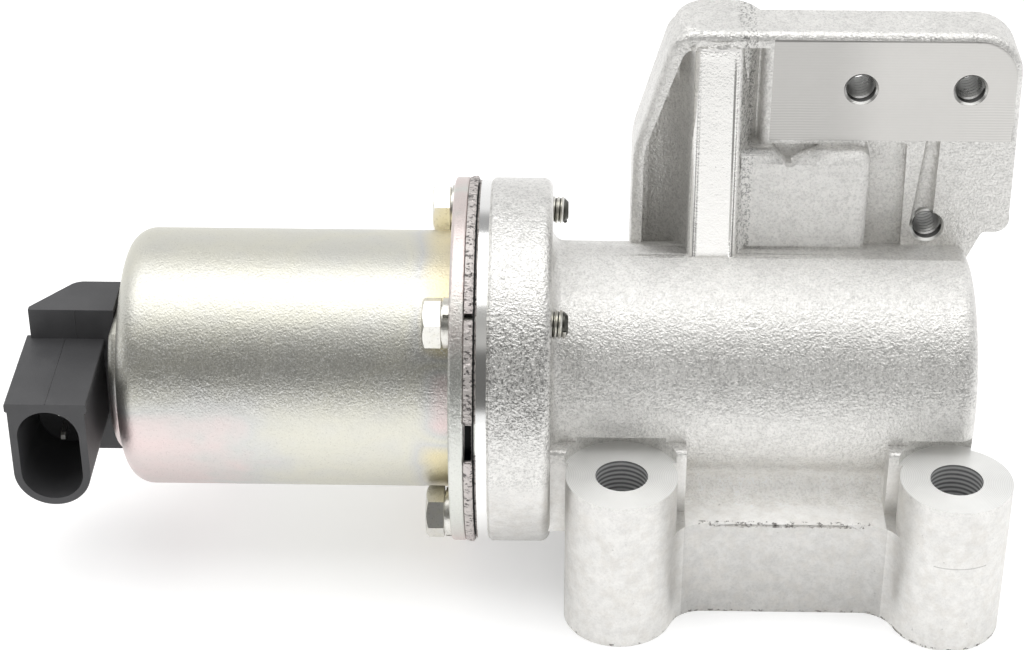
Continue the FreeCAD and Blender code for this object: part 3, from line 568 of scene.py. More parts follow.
def cast_areas(f):
    """Masks of the areas that differ in the cast skin, several of them for painted light and shade."""
    x, y, z = f.x, f.y, f.z
    above_barrel = z.above(BARREL_TOP)
    area = SimpleNamespace()
    area.calm = z.step(BOSS_TOP + 2 * MM, BOSS_TOP - 2 * MM) * y.step(-20 * MM, -24 * MM)
    # Painted highlight: the column's front gets a near-white tone; its grit is smoothed and its roughness
    # lowered too.
    area.column = x.above(COLUMN_LEFT + 0.3 * MM) * x.step(FLANK_RIGHT, FLANK_LEFT) * above_barrel
    area.column = area.column * y.below(BRACKET_FRONT + 0.5 * MM)
    area.column = area.column * z.step(BRACKET_TOP - 1 * MM, BRACKET_TOP - 5 * MM)
    area.flank = x.step(FLANK_LEFT, FLANK_RIGHT) * x.below(COLUMN_RIGHT + 1.2 * MM) * above_barrel
    area.flange = x.below(FLANGE_RIGHT + 0.1 * MM)
    # Painted light: the ledge and the cove under the barrel, lifted out of their shade in tone, with less
    # metal.
    area.ledge = z.above(LEDGE_Z - 0.1 * MM) * z.step(LEDGE_Z + 6.5 * MM, LEDGE_Z + 4 * MM)
    area.ledge = area.ledge * abs(x).below(LEDGE_HALF) * y.step(-15 * MM, -17 * MM)
    # Painted shade: the web's front between the bosses.
    area.web = abs(x).below(LEDGE_HALF + 0.2 * MM) * z.below(LEDGE_Z) * y.below(WEB_Y + 1 * MM)
    # Painted shade: dark specks in the gaps of the ragged lip along the web's top edge.
    area.web_line = z.at(LEDGE_Z - 0.3 * MM, 0.5 * MM) * y.below(WEB_Y + 0.8 * MM)
    area.web_line = area.web_line * abs(x).below(WEB_LINE_HALF)
    # Painted shade: dark dashes along the foot's front edge.
    area.foot_line = z.below(0.5 * MM) * y.below(-20 * MM)
    # Painted shade: darker towards the floor behind the bosses' fronts, most of all on the web's front.
    area.front_foot = z.step(LEDGE_Z, 2 * MM) * y.step(-31 * MM, -29 * MM)
    area.witness = z.at(BOSS_TOP * 0.6, 0.10 * MM) * y.below(BOSS_Y - 6 * MM)
    area.witness = area.witness * x.above(BOSS_X - 4 * MM) * x.below(BOSS_X + 5 * MM)
    area.block = x.above(BLOCK_LEFT) * x.below(BLOCK_RIGHT) * above_barrel
    area.block = area.block * z.below(BLOCK_TOP) * y.below(BLOCK_FRONT)
    # Painted shade: the front's dark reflection on the barrel and the flange.
    radius, rise, band = side_band(f)
    area.band = band * radius.below(FLANGE_REACH)
    area.crest = rise.step(0.80, 0.97) * radius.below(FLANGE_REACH) * y.below(0)
    area.crest = area.crest * z.below(BARREL_TOP + 0.5 * MM)
    return area


def cast_skin(f, look, area, mottle, cloud):
    """Colour of the cast skin: clouds and grit by area, painted light and shade by area, then stains and
    painted shade in gaps.
    """
    grit = f.noise(look.grain * 0.9, 2.0, 0.75, seed=13.0).step(0.38, 0.54)
    pores = f.noise(1.1 * MM, 3.0, 0.7, seed=5.0).step(0.66, 0.74)
    specks = f.noise(0.9 * MM, 3.0, 0.7, seed=11.0).step(0.53, 0.60)
    blotch = f.noise(2.6 * MM, 4.0, 0.7, seed=16.0).step(0.44, 0.62) * f.z.step(BOSS_TOP, BOSS_TOP - 4 * MM)
    # The front's dark reflection deepens the grit: painted shade. The flank and the flange have deeper grit
    # of their own.
    depth = area.flank * 1.6 + area.flange * 0.3 + area.band * (area.flange * 0.9 + 0.6) + 0.8
    depth = (1 - area.calm * 0.7) * (1 - area.column) * depth
    tone = mottle.step(0.25, 0.75) * 0.07 + cloud.step(0.3, 0.7) * 0.10 + 0.83
    # Painted shade: tone lowered by up to 0.12 towards the floor.
    tone = tone * (1.0 - (1.0 - grit) * 0.24 * depth) - area.front_foot * 0.12
    # Painted highlight: the column's front set to a near-white tone. Painted light: the ledge under the
    # barrel lifted by 0.20.
    tone = f.blend(area.column, tone, 1.09) + area.ledge * 0.20
    # Painted shade: the web between the bosses darker by 0.14.
    tone = tone - area.calm * 0.05 - area.web * 0.14 + area.block * 0.05
    skin = f.toned(look.cast, tone)
    skin = f.mix(blotch * 0.22, skin, (0.60, 0.56, 0.50))
    skin = f.mix(area.witness * 0.4, skin, look.stain)
    skin = f.mix(pores * 0.35, skin, look.stain)
    # Painted shade: dark specks along the web's lip and the foot's front edge, in the stain colour.
    return f.mix(area.web_line.largest(area.foot_line) * specks * 0.9, skin, look.stain)


def cut_colour(f, look, cut, mottle, cloud, rings, mill, scratch):
    """Colour of the cut faces: turned boss tops with painted sheen, milled pad with painted light, bores with
    painted thread shading, and threads in painted shade.
    """
    # Painted sheen: the boss tops lighter to the front and rear of the hole and greyer at the sides, with the
    # cutter marks and scratches.
    across = (f.y - BOSS_Y) * (f.y - BOSS_Y) / (cut.boss_r * cut.boss_r + 1e-9)
    sheen = f.blend(cut.boss_face, 1.0, across * 0.16 + rings * 0.07 + scratch * 0.12 + 0.86)
    lined = f.x.step(8 * MM, 2 * MM).largest(f.x.step(26 * MM, 33 * MM))
    lined = lined * f.z.step(PAD_LOW + 9 * MM, PAD_LOW + 6 * MM)
    # Painted light: the milled pad lighter to the right and upwards; the mill lines and clouds are its own.
    slope = f.x.step(6 * MM, 17 * MM) * 0.18 + mill * (lined * 0.06 + 0.012) + cloud * 0.05
    slope = slope + f.z.step(PAD_LOW, PAD_LOW + 16 * MM) * 0.05 + 0.78
    # Painted light and shade: grey bands in the bolt holes give the look of a thread.
    bored = ((f.z + mottle * 0.3 * MM) * (TURN / (0.9 * MM))).sine() * 0.34 + 0.62
    colour = f.mix(cut.pad, f.toned(look.machined, sheen), f.toned(look.milled, slope))
    colour = f.mix(cut.bolt_wall, colour, f.grey(bored))
    # Painted shade: the tapped holes' walls nearly black.
    return f.mix(cut.thread_wall, colour, (0.16, 0.16, 0.155))


def cast_aluminium(look):
    f = Finish("cast_aluminium")
    cut = cut_areas(f)
    area = cast_areas(f)
    mottle = f.noise(11 * MM, 4.0, 0.6, seed=2.0)
    cloud = f.noise(1.9 * MM, 4.0, 0.65, seed=3.0)

    grain = f.noise(look.grain, 2.0, 0.6)
    coarse = f.noise(look.grain * 2.6, 2.0, 0.5, seed=4.0)
    hills = f.noise(6 * MM, 2.0, seed=9.0)
    smooth = area.calm.largest(area.column)
    sand = (grain * 0.8 + coarse * 0.5) * (1.0 - smooth * 0.9) * look.grain_height + hills * 0.08 * MM
    rings = (cut.hole_r * (TURN / look.ring_pitch) + mottle * 3.0).sine()
    mill = ((f.z + mottle * 0.4 * MM) * (TURN / (look.ring_pitch * 1.7))).sine()
    scratch = f.noise(0.5 * MM, 2.0, vector=f.stretched(0.15, 0.15, 3.0), seed=7.0)
    marks = (rings * (1 - cut.pad) + mill * cut.pad) * 3.0e-6 + scratch * 6.0e-6
    height = sand * (1 - cut.every) + marks * cut.every

    colour = f.mix(cut.every, cast_skin(f, look, area, mottle, cloud),
                   cut_colour(f, look, cut, mottle, cloud, rings, mill, scratch))
    skin_rough = 0.38 + mottle * 0.10 - area.column * 0.27 - area.flange * 0.10
    roughness = f.blend(cut.every, skin_rough, 0.28 + mottle * 0.10)
    metal = f.blend(cut.every, 0.82, 1.0) - cut.boss_face * 0.6 - cut.bolt_wall * 0.45
    metal = metal - area.ledge.largest(area.crest * 0.7) * 0.75 - area.block * 0.5
    return f.principled(colour, roughness, metal, f.bump(height))


def yellow_zinc(look):
    f = Finish("yellow_zinc")
    x, z = f.x, f.z
    patches = f.noise(look.bloom_size, 2.5, 0.5, f.stretched(0.8, 1.0, 1.6), 1.5)
    drift = f.noise(look.bloom_size * 0.4, 2.0, 0.5, seed=8.0)
    flange_end = x.step(CAN_HIGH.x - 12 * MM, CAN_HIGH.x - 4 * MM)
    low_left = (x + drift * 14 * MM).step(CAN_LOW.x + 44 * MM, CAN_LOW.x + 20 * MM)
    low_left = low_left * (z + patches * 12 * MM).step(AXIS_Z + 13 * MM, AXIS_Z + 1 * MM)
    middle = z.step(AXIS_Z + 14 * MM, AXIS_Z + 9 * MM) * z.step(AXIS_Z - 6 * MM, AXIS_Z + 1 * MM)
    near_end = x.step(CAN_HIGH.x - 9 * MM, CAN_HIGH.x - 4 * MM) * middle
    hue = patches * 0.40 + drift * 0.16 + 0.16
    hue = hue + flange_end * (1 - middle) * 0.40 - low_left * 0.28 - near_end * 0.30
    colour = f.ramp(hue, [(0.06, look.pink), (0.30, look.zinc), (0.46, look.pale), (0.60, look.zinc),
                          (0.84, look.yellow)])
    return zinc_surface(f, look, colour, drift)


def zinc_surface(f, look, colour, drift):
    """Satin zinc: fine grain and dark specks on a colour, with painted dark and bright reflection speckle on
    the front.
    """
    grain = f.noise(look.grain, 2.0, 0.6, seed=1.0)
    band = side_band(f)[2]
    specks = f.noise(look.grain * 0.8, 1.0, 0.5, seed=12.0).step(0.58, 0.70)
    salt = f.noise(look.grain * 0.7, 2.0, 0.75, seed=14.0)
    colour = f.mix(specks * 0.14, colour, (0.22, 0.21, 0.19))
    # Painted reflection: dark and bright speckle where the front's dark reflection falls.
    colour = f.mix(salt.step(0.52, 0.42) * band * 0.30, colour, (0.30, 0.30, 0.29))
    colour = f.mix(salt.step(0.54, 0.64) * band * 0.9, colour, (0.97, 0.97, 0.95))
    height = grain * look.grain_height + f.noise(look.grain * 4, 2.0, seed=6.0) * 0.05 * MM
    return f.principled(colour, 0.33 + drift * 0.10 + grain * 0.06, 1.0, f.bump(height))


def clamp_zinc(look):
    f = Finish("clamp_zinc")
    drift = f.noise(look.bloom_size * 0.4, 2.0, 0.5, seed=8.0)
    ends = abs(f.z - AXIS_Z).step(14 * MM, 24 * MM) * drift.step(0.25, 0.55)
    return zinc_surface(f, look, f.mix(ends * 0.55, look.plate, look.pink), drift)


def machined_steel(look):
    f = Finish("machined_steel")
    lines = f.noise(0.12 * MM, 2.0, vector=f.stretched(1.0, 0.02, 0.02), seed=3.0)
    cloud = f.noise(6 * MM, 3.0)
    return f.principled(look.ring, 0.10 + cloud * 0.10, 1.0, f.bump(lines * 1.2e-6))


def zinc_sheet(look):
    f = Finish("zinc_sheet")
    radius = distance(f.y, f.z - AXIS_Z)
    rim = radius.above(END_PLATE_HIGH.y - 0.45 * MM)
    tear = f.noise(0.55 * MM, 3.0, 0.7, f.stretched(0.6, 1.0, 1.0), 2.0)
    grain = f.noise(0.28 * MM, 2.0, seed=5.0)
    specks = tear.step(0.52, 0.60) * rim
    colour = f.mix(f.noise(9 * MM, 2.0, seed=7.0).step(0.45, 0.7) * 0.3, look.sheet, (0.78, 0.68, 0.70))
    colour = f.mix(specks * 0.85, colour, (0.06, 0.055, 0.055))
    # Painted shade with some dirt: the plate's edges inside its rim, the slot's walls among them, nearly
    # black.
    between = f.x.above(END_PLATE_LOW.x + 0.12 * MM) * f.x.below(END_PLATE_HIGH.x - 0.12 * MM)
    colour = f.mix((1 - rim) * between, colour, (0.012, 0.012, 0.012))
    height = tear * rim * 0.20 * MM + grain * 0.03 * MM
    return f.principled(colour, 0.42 + grain * 0.15, 0.85, f.bump(height))


def screw_zinc(look):
    f = Finish("screw_zinc")
    cloud = f.noise(2.4 * MM, 3.0, 0.6)
    grain = f.noise(0.35 * MM, 2.0, seed=2.0)
    # Painted shade: the screw ends past the flange nearly black, except the thread crests.
    core = distance(abs(f.y) - abs(SCREW_MIDDLE.y), abs(f.z - AXIS_Z) - abs(SCREW_MIDDLE.z - AXIS_Z))
    core = core.below(2.2 * MM) * f.x.above(FLANGE_RIGHT)
    colour = f.mix(cloud.step(0.4, 0.75) * 0.45, look.zinc, (0.74, 0.72, 0.60))
    colour = f.mix(grain.step(0.55, 0.7) * 0.3, colour, (0.25, 0.24, 0.22))
    colour = f.mix(core, colour, (0.10, 0.10, 0.09))
    return f.principled(colour, 0.24 + cloud * 0.16, 1.0, f.bump(grain * 0.03 * MM))


def black_plastic(look):
    f = Finish("black_plastic")
    grain = f.noise(0.22 * MM, 2.0, 0.6)
    cloud = f.noise(9 * MM, 3.0, 0.6, seed=4.0)
    tone = f.mix(cloud.step(0.35, 0.75), look.shell, (0.075, 0.075, 0.078))
    return f.principled(tone, 0.44 + cloud * 0.14, 0.0, f.bump(grain * 0.03 * MM))


def plain_finish(name, colour, rough, grain_size, grain_height, metallic=1.0):
    """Clouded metal, or a matt material where metallic is 0."""
    f = Finish(name)
    cloud = f.noise(5 * MM, 3.0, seed=3.0)
    shade = 0.70 + 0.02 * metallic
    tone = f.mix(cloud * 0.4, colour, tuple(part * shade for part in colour))
    height = f.noise(grain_size * MM, 2.0) * (grain_height * MM)
    return f.principled(tone, rough + cloud * 0.12, metallic, f.bump(height))


def wound_copper(look):
    f = Finish("enamelled_wire")
    turns = (f.x * (TURN / (0.5 * MM))).sine()
    tone = f.mix(f.noise(3 * MM, 2.0) * 0.5, look.copper, (0.35, 0.10, 0.04))
    return f.principled(tone, 0.32 + turns * 0.04, 0.9, f.bump(turns * 0.05 * MM))


# Operators

class ValveStep:
    """Shared wording of the steps."""
    bl_options = {"REGISTER"}


class VALVE_OT_casting(ValveStep, bpy.types.Operator):
    """Finish the casting, with its burrs and mould marks"""
    bl_idname = "valve.casting"
    bl_label = "Casting"

    def execute(self, context):
        look = context.scene.valve_casting
        skin = cast_aluminium(look)
        carve_casting(skin)
        new_piece("web_burr", web_burr, skin, "housing")
        return {"FINISHED"}


def carve_casting(skin):
    """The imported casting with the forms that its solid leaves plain, as exact joins and cuts."""
    node = frame["nodes"]["valve_body"]

    def merged(form):
        form.from_mesh(node.data)
        form.transform(node.matrix_world)
        bmesh.ops.remove_doubles(form, verts=form.verts, dist=0.0001 * MM)

    piece = add_object("casting_skin", mesh_from("casting_skin", merged))
    for build, operation in ((column_front, "UNION"), (pocket_sweep, "UNION"), (block_notch, "DIFFERENCE"),
                             (web_cove, "DIFFERENCE"), (rim_round, "DIFFERENCE")):
        combine(piece, build, operation)
    settle(piece, skin, "housing", ("valve_body",))
    even_normals(piece, node)


def even_normals(piece, node):
    """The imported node's own normals at its corners, and even ones where the form is new."""
    same_place = 0.003 * MM
    step = piece.modifiers.new("even", "WEIGHTED_NORMAL")
    step.keep_sharp = True
    step.weight = 100
    mesh = finished_mesh(piece)
    piece.modifiers.clear()
    known = [(place, face.normal.copy(), node.data.corner_normals[loop].vector.copy())
             for face, loop, place in corners_of(node.data)]
    tree = KDTree(len(known))
    for i, entry in enumerate(known):
        tree.insert(entry[0], i)
    tree.balance()
    normals = [entry.vector.copy() for entry in mesh.corner_normals]
    for face, loop, place in corners_of(mesh):
        near = [known[i] for _, i, _ in tree.find_range(place, same_place)]
        near = max(near, key=lambda entry: entry[1].dot(face.normal), default=None)
        if near is not None and near[1].dot(face.normal) > 0.995:
            normals[loop] = near[2]
        elif max(abs(part) for part in face.normal) > 0.9999:
            normals[loop] = face.normal.copy()
    mesh.normals_split_custom_set(normals)
    piece.data = mesh


def corners_of(mesh):
    """Each corner of each face, with its place."""
    for face in mesh.polygons:
        for loop in face.loop_indices:
            yield face, loop, mesh.vertices[mesh.loops[loop].vertex_index].co.copy()


def combine(piece, build, operation):
    """Joins or cuts the piece by a closed form, as an exact boolean."""
    def outward(form):
        build(form)
        bmesh.ops.recalc_face_normals(form, faces=form.faces)

    tool = add_object("tool", mesh_from("tool", outward))
    step = piece.modifiers.new("combine", "BOOLEAN")
    step.operation = operation
    step.solver = "EXACT"
    step.object = tool
    result = finished_mesh(piece)
    piece.modifiers.clear()
    piece.data = result
    bpy.data.objects.remove(tool)


def column_front(form):
    """Flat-fronted column that leans back to the rim as it rises, with a sloping right flank."""
    lean = 0.1855
    left = COLUMN_LEFT - 0.1 * MM
    left_round = 1.6 * MM
    right_round = 2.4 * MM
    root_y = 15 * MM
    rings = []
    for z in (AXIS_Z + 8 * MM, BRACKET_TOP - 2.6 * MM):
        front = BRACKET_FRONT - 0.03 * MM - lean * (BRACKET_TOP - 1 * MM - z)
        section = [(left, root_y)]
        for turn in range(0, 91, 15):
            angle = math.radians(turn)
            section.append((left + left_round * (1 - math.cos(angle)),
                            front + left_round * (1 - math.sin(angle))))
        for turn in range(0, 61, 12):
            angle = math.radians(turn)
            section.append((-10.2 * MM + right_round * math.sin(angle) * 0.8,
                            front + right_round * (1 - math.cos(angle))))
        section += [(-7.2 * MM, front + 3.8 * MM), (-6.9 * MM, root_y)]
        rings.append([(x, y, z) for x, y in section])
    rings_of(form, rings)


def pocket_sweep(form):
    """Hollow round between the column's left side and the floor of the pocket."""
    curve = [(-17.0, 4.8), (-17.4, 6.8), (-18.1, 8.8), (-19.2, 10.5), (-20.6, 12.0), (-22.2, 13.0),
             (-24.0, 13.6), (-24.0, 14.6), (-17.0, 14.6)]
    rim_left = -25.4 * MM
    low = AXIS_Z + 12 * MM
    high = BRACKET_TOP - 2.4 * MM
    slope = [BRACKET_BEND + (high - BRACKET_BEND) * i / 5 for i in range(6)]
    rings = []
    for z in [low, BRACKET_BEND - 4 * MM] + slope:
        rim = rim_left + max(0, z - BRACKET_BEND) * 6.5 / 22.7
        rings.append([(max(x * MM, rim + i * 0.01 * MM), y * MM, z) for i, (x, y) in enumerate(curve)])
    rings_of(form, rings)


def web_cove(form):
    """Hollow round under the barrel, down to the ledge between the bosses."""
    radius = 21.32 * MM
    cove = 2.5 * MM
    low = LEDGE_Z + 0.02 * MM
    centre_z = low + cove
    centre_y = -math.sqrt((radius + cove) ** 2 - (AXIS_Z - centre_z) ** 2)
    back = -24.5 * MM
    section = [(back, low)]
    touch = math.atan2(AXIS_Z - centre_z, -centre_y)
    for i in range(9):
        angle = -math.pi / 2 + (touch + math.pi / 2) * i / 8
        section.append((centre_y + cove * math.cos(angle), centre_z + cove * math.sin(angle)))
    start = math.asin((AXIS_Z - centre_z) / (radius + cove))
    end = math.asin(3.6 * MM / radius)
    for i in range(1, 13):
        angle = start + (end - start) * i / 12
        section.append((-radius * math.cos(angle), AXIS_Z - radius * math.sin(angle)))
    section.append((back, section[-1][1]))
    half = LEDGE_HALF - 0.05 * MM
    rings_of(form, [[(x, y, z) for y, z in section] for x in (-half, half)])


def block_notch(form):
    """Notch in the top of the block, beside the pad's lower left corner."""
    low = BLOCK_TOP - 2.6 * MM
    high = BLOCK_TOP + 0.4 * MM
    section = [(-3.2 * MM, high), (-0.6 * MM, low), (0.4 * MM, low), (5.2 * MM, high)]
    rings_of(form, [[(x, y, z) for x, z in section] for y in (3.0 * MM, BRACKET_FRONT + 0.9 * MM)])


def rounded_path(corners, steps=8):
    """Points (x, z) and outward normals on a path that turns clockwise, each inner corner rounded."""
    points = []
    for before, (x, z, radius), after in zip(corners, corners[1:], corners[2:]):
        at = Vector((x, z))
        back = (Vector(before[:2]) - at).normalized()
        on = (Vector(after[:2]) - at).normalized()
        half = back.angle(on) / 2
        centre = at + (back + on).normalized() * radius / math.sin(half)
        start = at + back * radius / math.tan(half) - centre
        end = at + on * radius / math.tan(half) - centre
        turn = start.angle(end)
        for i in range(steps + 1):
            share = i / steps
            out = (start * math.sin(turn * (1 - share)) + end * math.sin(turn * share)) / math.sin(turn)
            points.append((centre + out, out.normalized()))
    first, last = Vector(corners[0][:2]), Vector(corners[-1][:2])
    return [(first, points[0][1])] + points + [(last, points[-1][1])]


def rim_round(form):
    """What a round takes off the front edge, along the bracket's outline."""
    path = rounded_path([(BRACKET_LEFT, BARREL_TOP - 2 * MM, 0), (BRACKET_LEFT, BRACKET_BEND, 18 * MM),
                         (BRACKET_LEFT_TOP, BRACKET_TOP, 5 * MM), (BRACKET_RIGHT, BRACKET_TOP, 8 * MM),
                         (BRACKET_RIGHT + 0.55 * MM, BARREL_TOP + 4.5 * MM, 0)])
    reach = 1.5 * MM
    spare = 0.3 * MM
    before = -0.6 * MM
    section = [(spare, before), (-reach, before)]
    for i in range(7):
        angle = math.pi / 2 * i / 6
        section.append((-reach + reach * math.sin(angle), reach - reach * math.cos(angle)))
    section.append((spare, reach))
    rings = []
    for point, out in path:
        rings.append([(point.x + out.x * side, BRACKET_FRONT + depth, point.y + out.y * side)
                      for side, depth in section])
    rings_of(form, rings)


def web_burr(form):
    """Ragged lip along the top edge of the web between the bosses, turned down at its ends."""
    chance = random.Random(7)
    length = 27.0 * MM
    count = 130
    rings = []
    for i in range(count + 1):
        share = i / count
        x = (share - 0.5) * length
        edge_z = LEDGE_Z - 0.35 * MM - 1.6 * MM * max(0.0, abs(share - 0.5) * 10 - 4) ** 2
        taper = min(1.0, 6 * share, 6 * (1 - share))
        reach = (0.10 + 0.28 * chance.random() ** 2) * MM * taper
        lift = (0.02 + 0.14 * chance.random()) * MM * taper
        rings.append([(x, WEB_Y + 0.5 * MM, edge_z - 0.05 * MM), (x, WEB_Y + 0.1 * MM, edge_z + lift),
                      (x, WEB_Y - reach, edge_z + lift * 0.4),
                      (x, WEB_Y - reach * 0.6, edge_z - lift - 0.05 * MM),
                      (x, WEB_Y + 0.2 * MM, edge_z - 0.5 * MM)])
    rings_of(form, rings)
    bmesh.ops.recalc_face_normals(form, faces=form.faces)


class VALVE_OT_can(ValveStep, bpy.types.Operator):
    """Finish the solenoid can and the plate on its mouth"""
    bl_idname = "valve.can"
    bl_label = "Solenoid can"

    def execute(self, context):
        look = context.scene.valve_can
        dress(yellow_zinc(look), "solenoid_can")
        dress(clamp_zinc(look), "clamp_plate")
        return {"FINISHED"}


class VALVE_OT_plates(ValveStep, bpy.types.Operator):
    """Finish the ring, the gasket and the sheared plate"""
    bl_idname = "valve.plates"
    bl_label = "Plates"

    def execute(self, context):
        look = context.scene.valve_plates
        dress(machined_steel(look), "spacer_ring")
        sheet = zinc_sheet(look)
        dress(sheet, "end_plate")
        new_piece("end_plate_burr", sheared_rim, sheet, "housing")
        dress(plain_finish("gasket_sheet", tuple(look.gasket), 0.7, 0.3, 0.03, metallic=0.0), "flange_gasket")
        return {"FINISHED"}


def sheared_rim(form):
    """Torn edge around the plate, left out at its slot and its nick."""
    chance = random.Random(11)
    left = END_PLATE_LOW.x + 0.02 * MM
    thick = END_PLATE_HIGH.x - END_PLATE_LOW.x
    outer = END_PLATE_HIGH.y
    root = outer - 0.5 * MM
    count = 900
    gaps = ((NICK_ANGLE, 1.3), (SLOT_ANGLE, 6.5))
    runs = [[]]
    for i in range(count + 1):
        angle = 360.0 * i / count
        if any(abs(180.0 - angle - middle) < half for middle, half in gaps):
            runs.append([])
            continue
        lift = [(0.02 + 0.10 * chance.random()) * MM, (0.04 + 0.20 * chance.random() ** 2) * MM,
                (0.02 + 0.26 * chance.random() ** 2) * MM]
        lean = 0.10 * MM * chance.random()
        turn = math.radians(angle)
        section = ((left, root), (left + 0.1 * MM, outer + lift[0] * 0.4),
                   (left + thick * 0.5, outer + lift[1]), (left + thick * 0.86, outer + lift[2]),
                   (left + thick + lean, outer - 0.12 * MM), (left + thick, root))
        runs[-1].append([(x, reach * math.cos(turn), AXIS_Z + reach * math.sin(turn))
                         for x, reach in section])
    for run in runs:
        if run:
            rings_of(form, run)
    bmesh.ops.recalc_face_normals(form, faces=form.faces)


class VALVE_OT_screws(ValveStep, bpy.types.Operator):
    """Make the four flange screws, threaded, and finish their washers"""
    bl_idname = "valve.screws"
    bl_label = "Flange screws"

    def execute(self, context):
        look = context.scene.valve_screws
        zinc = screw_zinc(look)
        dress(zinc, *(f"lock_washer_{number}" for number in range(1, 5)))
        seat = WASHER_LOW.x
        length = SCREW_HIGH.x - seat
        core_r = SCREW_R - look.thread_depth
        plain = 8 * MM
        circle = math.hypot(SCREW_MIDDLE.y, SCREW_MIDDLE.z - AXIS_Z)
        blank = mesh_from("screw_blank", lambda form: screw_blank(form, look, core_r, plain, length))
        piece = screw_tree().make("flange_screws", blank, {
            "Circle": circle, "Core": core_r, "Pitch": look.pitch, "Threaded": length - plain - 0.8 * MM,
            "Depth": look.thread_depth, "Count": 4, "Start": (plain + 0.2 * MM, 0, 0),
            "Middle": (seat, 0, AXIS_Z), "Material": zinc})
        settle(piece, zinc, "housing", [f"flange_screw_{number}" for number in range(1, 5)])
        return {"FINISHED"}


def screw_tree():
    """Geometry Nodes that thread the blank and set it round the valve's axis."""
    tree = NodeForm("Flange screws", [("Circle", "NodeSocketFloat"), ("Core", "NodeSocketFloat"),
                                      ("Pitch", "NodeSocketFloat"), ("Threaded", "NodeSocketFloat"),
                                      ("Depth", "NodeSocketFloat"), ("Count", "NodeSocketInt"),
                                      ("Start", "NodeSocketVector"), ("Middle", "NodeSocketVector"),
                                      ("Material", "NodeSocketMaterial")])
    given = tree.given
    to_axis = (0, math.pi / 2, 0)
    ridge = thread_ridge(tree, given["Core"], given["Pitch"], given["Threaded"], given["Depth"])
    ridge = tree.node("GeometryNodeTransform", {}, {"Geometry": ridge, "Rotation": to_axis,
                                                    "Translation": given["Start"]})
    screw = tree.join(given["Geometry"], ridge)
    spots = tree.node("GeometryNodeMeshCircle", {}, {"Vertices": given["Count"], "Radius": given["Circle"]})
    spots = tree.node("GeometryNodeTransform", {}, {"Geometry": spots, "Rotation": (0, 0, math.pi / 4)})
    spots = tree.node("GeometryNodeTransform", {}, {"Geometry": spots, "Rotation": to_axis,
                                                    "Translation": given["Middle"]})
    turn = tree.node("FunctionNodeRandomValue", {"data_type": "FLOAT_VECTOR"},
                     {0: (0, 0, 0), 1: (math.radians(60), 0, 0), "Seed": 5})
    placed = tree.node("GeometryNodeInstanceOnPoints", {},
                       {"Points": spots, "Instance": screw, "Rotation": turn})
    tree.end(placed)
    return tree


def screw_blank(form, look, core_r, plain, length):
    """Chamfered hexagon head and plain shank along +X, the underside of the head at x = 0."""
    half = look.across_flats / 2
    high = look.head_height
    crown = half * 0.94
    count = 72

    def ring(radius_at, x_at):
        points = []
        for i in range(count):
            angle = TURN * i / count
            off_flat = (angle + math.pi / 6) % (math.pi / 3) - math.pi / 6
            radius = radius_at(half / math.cos(off_flat))
            points.append((x_at(radius), radius * math.cos(angle), radius * math.sin(angle)))
        return points

    def chamfer(radius):
        return -(high - max(0.0, radius - crown) * 0.55)

    rings = [
        ring(lambda hexagon: core_r * 0.72, lambda radius: length),
        ring(lambda hexagon: core_r, lambda radius: length - 0.6 * MM),
        ring(lambda hexagon: core_r, lambda radius: plain + 0.3 * MM),
        ring(lambda hexagon: SCREW_R, lambda radius: plain),
        ring(lambda hexagon: SCREW_R, lambda radius: 0.0),
        ring(lambda hexagon: half * 0.93, lambda radius: 0.0),
        ring(lambda hexagon: half * 0.93, lambda radius: -0.25 * MM),
        ring(lambda hexagon: hexagon - 0.12 * MM, lambda radius: -0.25 * MM),
        ring(lambda hexagon: hexagon, lambda radius: -0.38 * MM),
        ring(lambda hexagon: hexagon, chamfer),
        ring(lambda hexagon: crown, lambda radius: -high),
        ring(lambda hexagon: crown * 0.82, lambda radius: -high + 0.05 * MM),
        ring(lambda hexagon: crown * 0.74, lambda radius: -high + 0.22 * MM),
    ]
    rings_of(form, rings)
    bmesh.ops.recalc_face_normals(form, faces=form.faces)


class VALVE_OT_tapped_threads(ValveStep, bpy.types.Operator):
    """Cut the look of threads into the three tapped holes of the bracket"""
    bl_idname = "valve.tapped_threads"
    bl_label = "Tapped threads"

    def execute(self, context):
        look = context.scene.valve_screws
        metal = plain_finish("tapped_aluminium", (0.78, 0.78, 0.77), 0.22, 0.3, 0.004)
        spots = bpy.data.meshes.new("tap_spots")
        back = MOUNTS["pad_thread_left"]["dims"]["length_mm"] * MM
        spots.from_pydata([(tap.x, tap.y + 0.2 * MM, tap.z) for tap in TAPS], [], [])
        tree = NodeForm("Tapped threads", [("Radius", "NodeSocketFloat"), ("Pitch", "NodeSocketFloat"),
                                           ("Length", "NodeSocketFloat"), ("Depth", "NodeSocketFloat"),
                                           ("Material", "NodeSocketMaterial")])
        given = tree.given
        ridge = thread_ridge(tree, given["Radius"], given["Pitch"], given["Length"], given["Depth"])
        placed = tree.node("GeometryNodeInstanceOnPoints", {}, {
            "Points": given["Geometry"], "Instance": ridge, "Rotation": (-math.pi / 2, 0, 0)})
        tree.end(placed)
        piece = tree.make("bracket_threads", spots, {
            "Radius": TAP_R, "Pitch": look.tap_pitch, "Length": back - 1.4 * MM, "Depth": look.tap_depth,
            "Material": metal})
        settle(piece, metal, "housing")
        return {"FINISHED"}


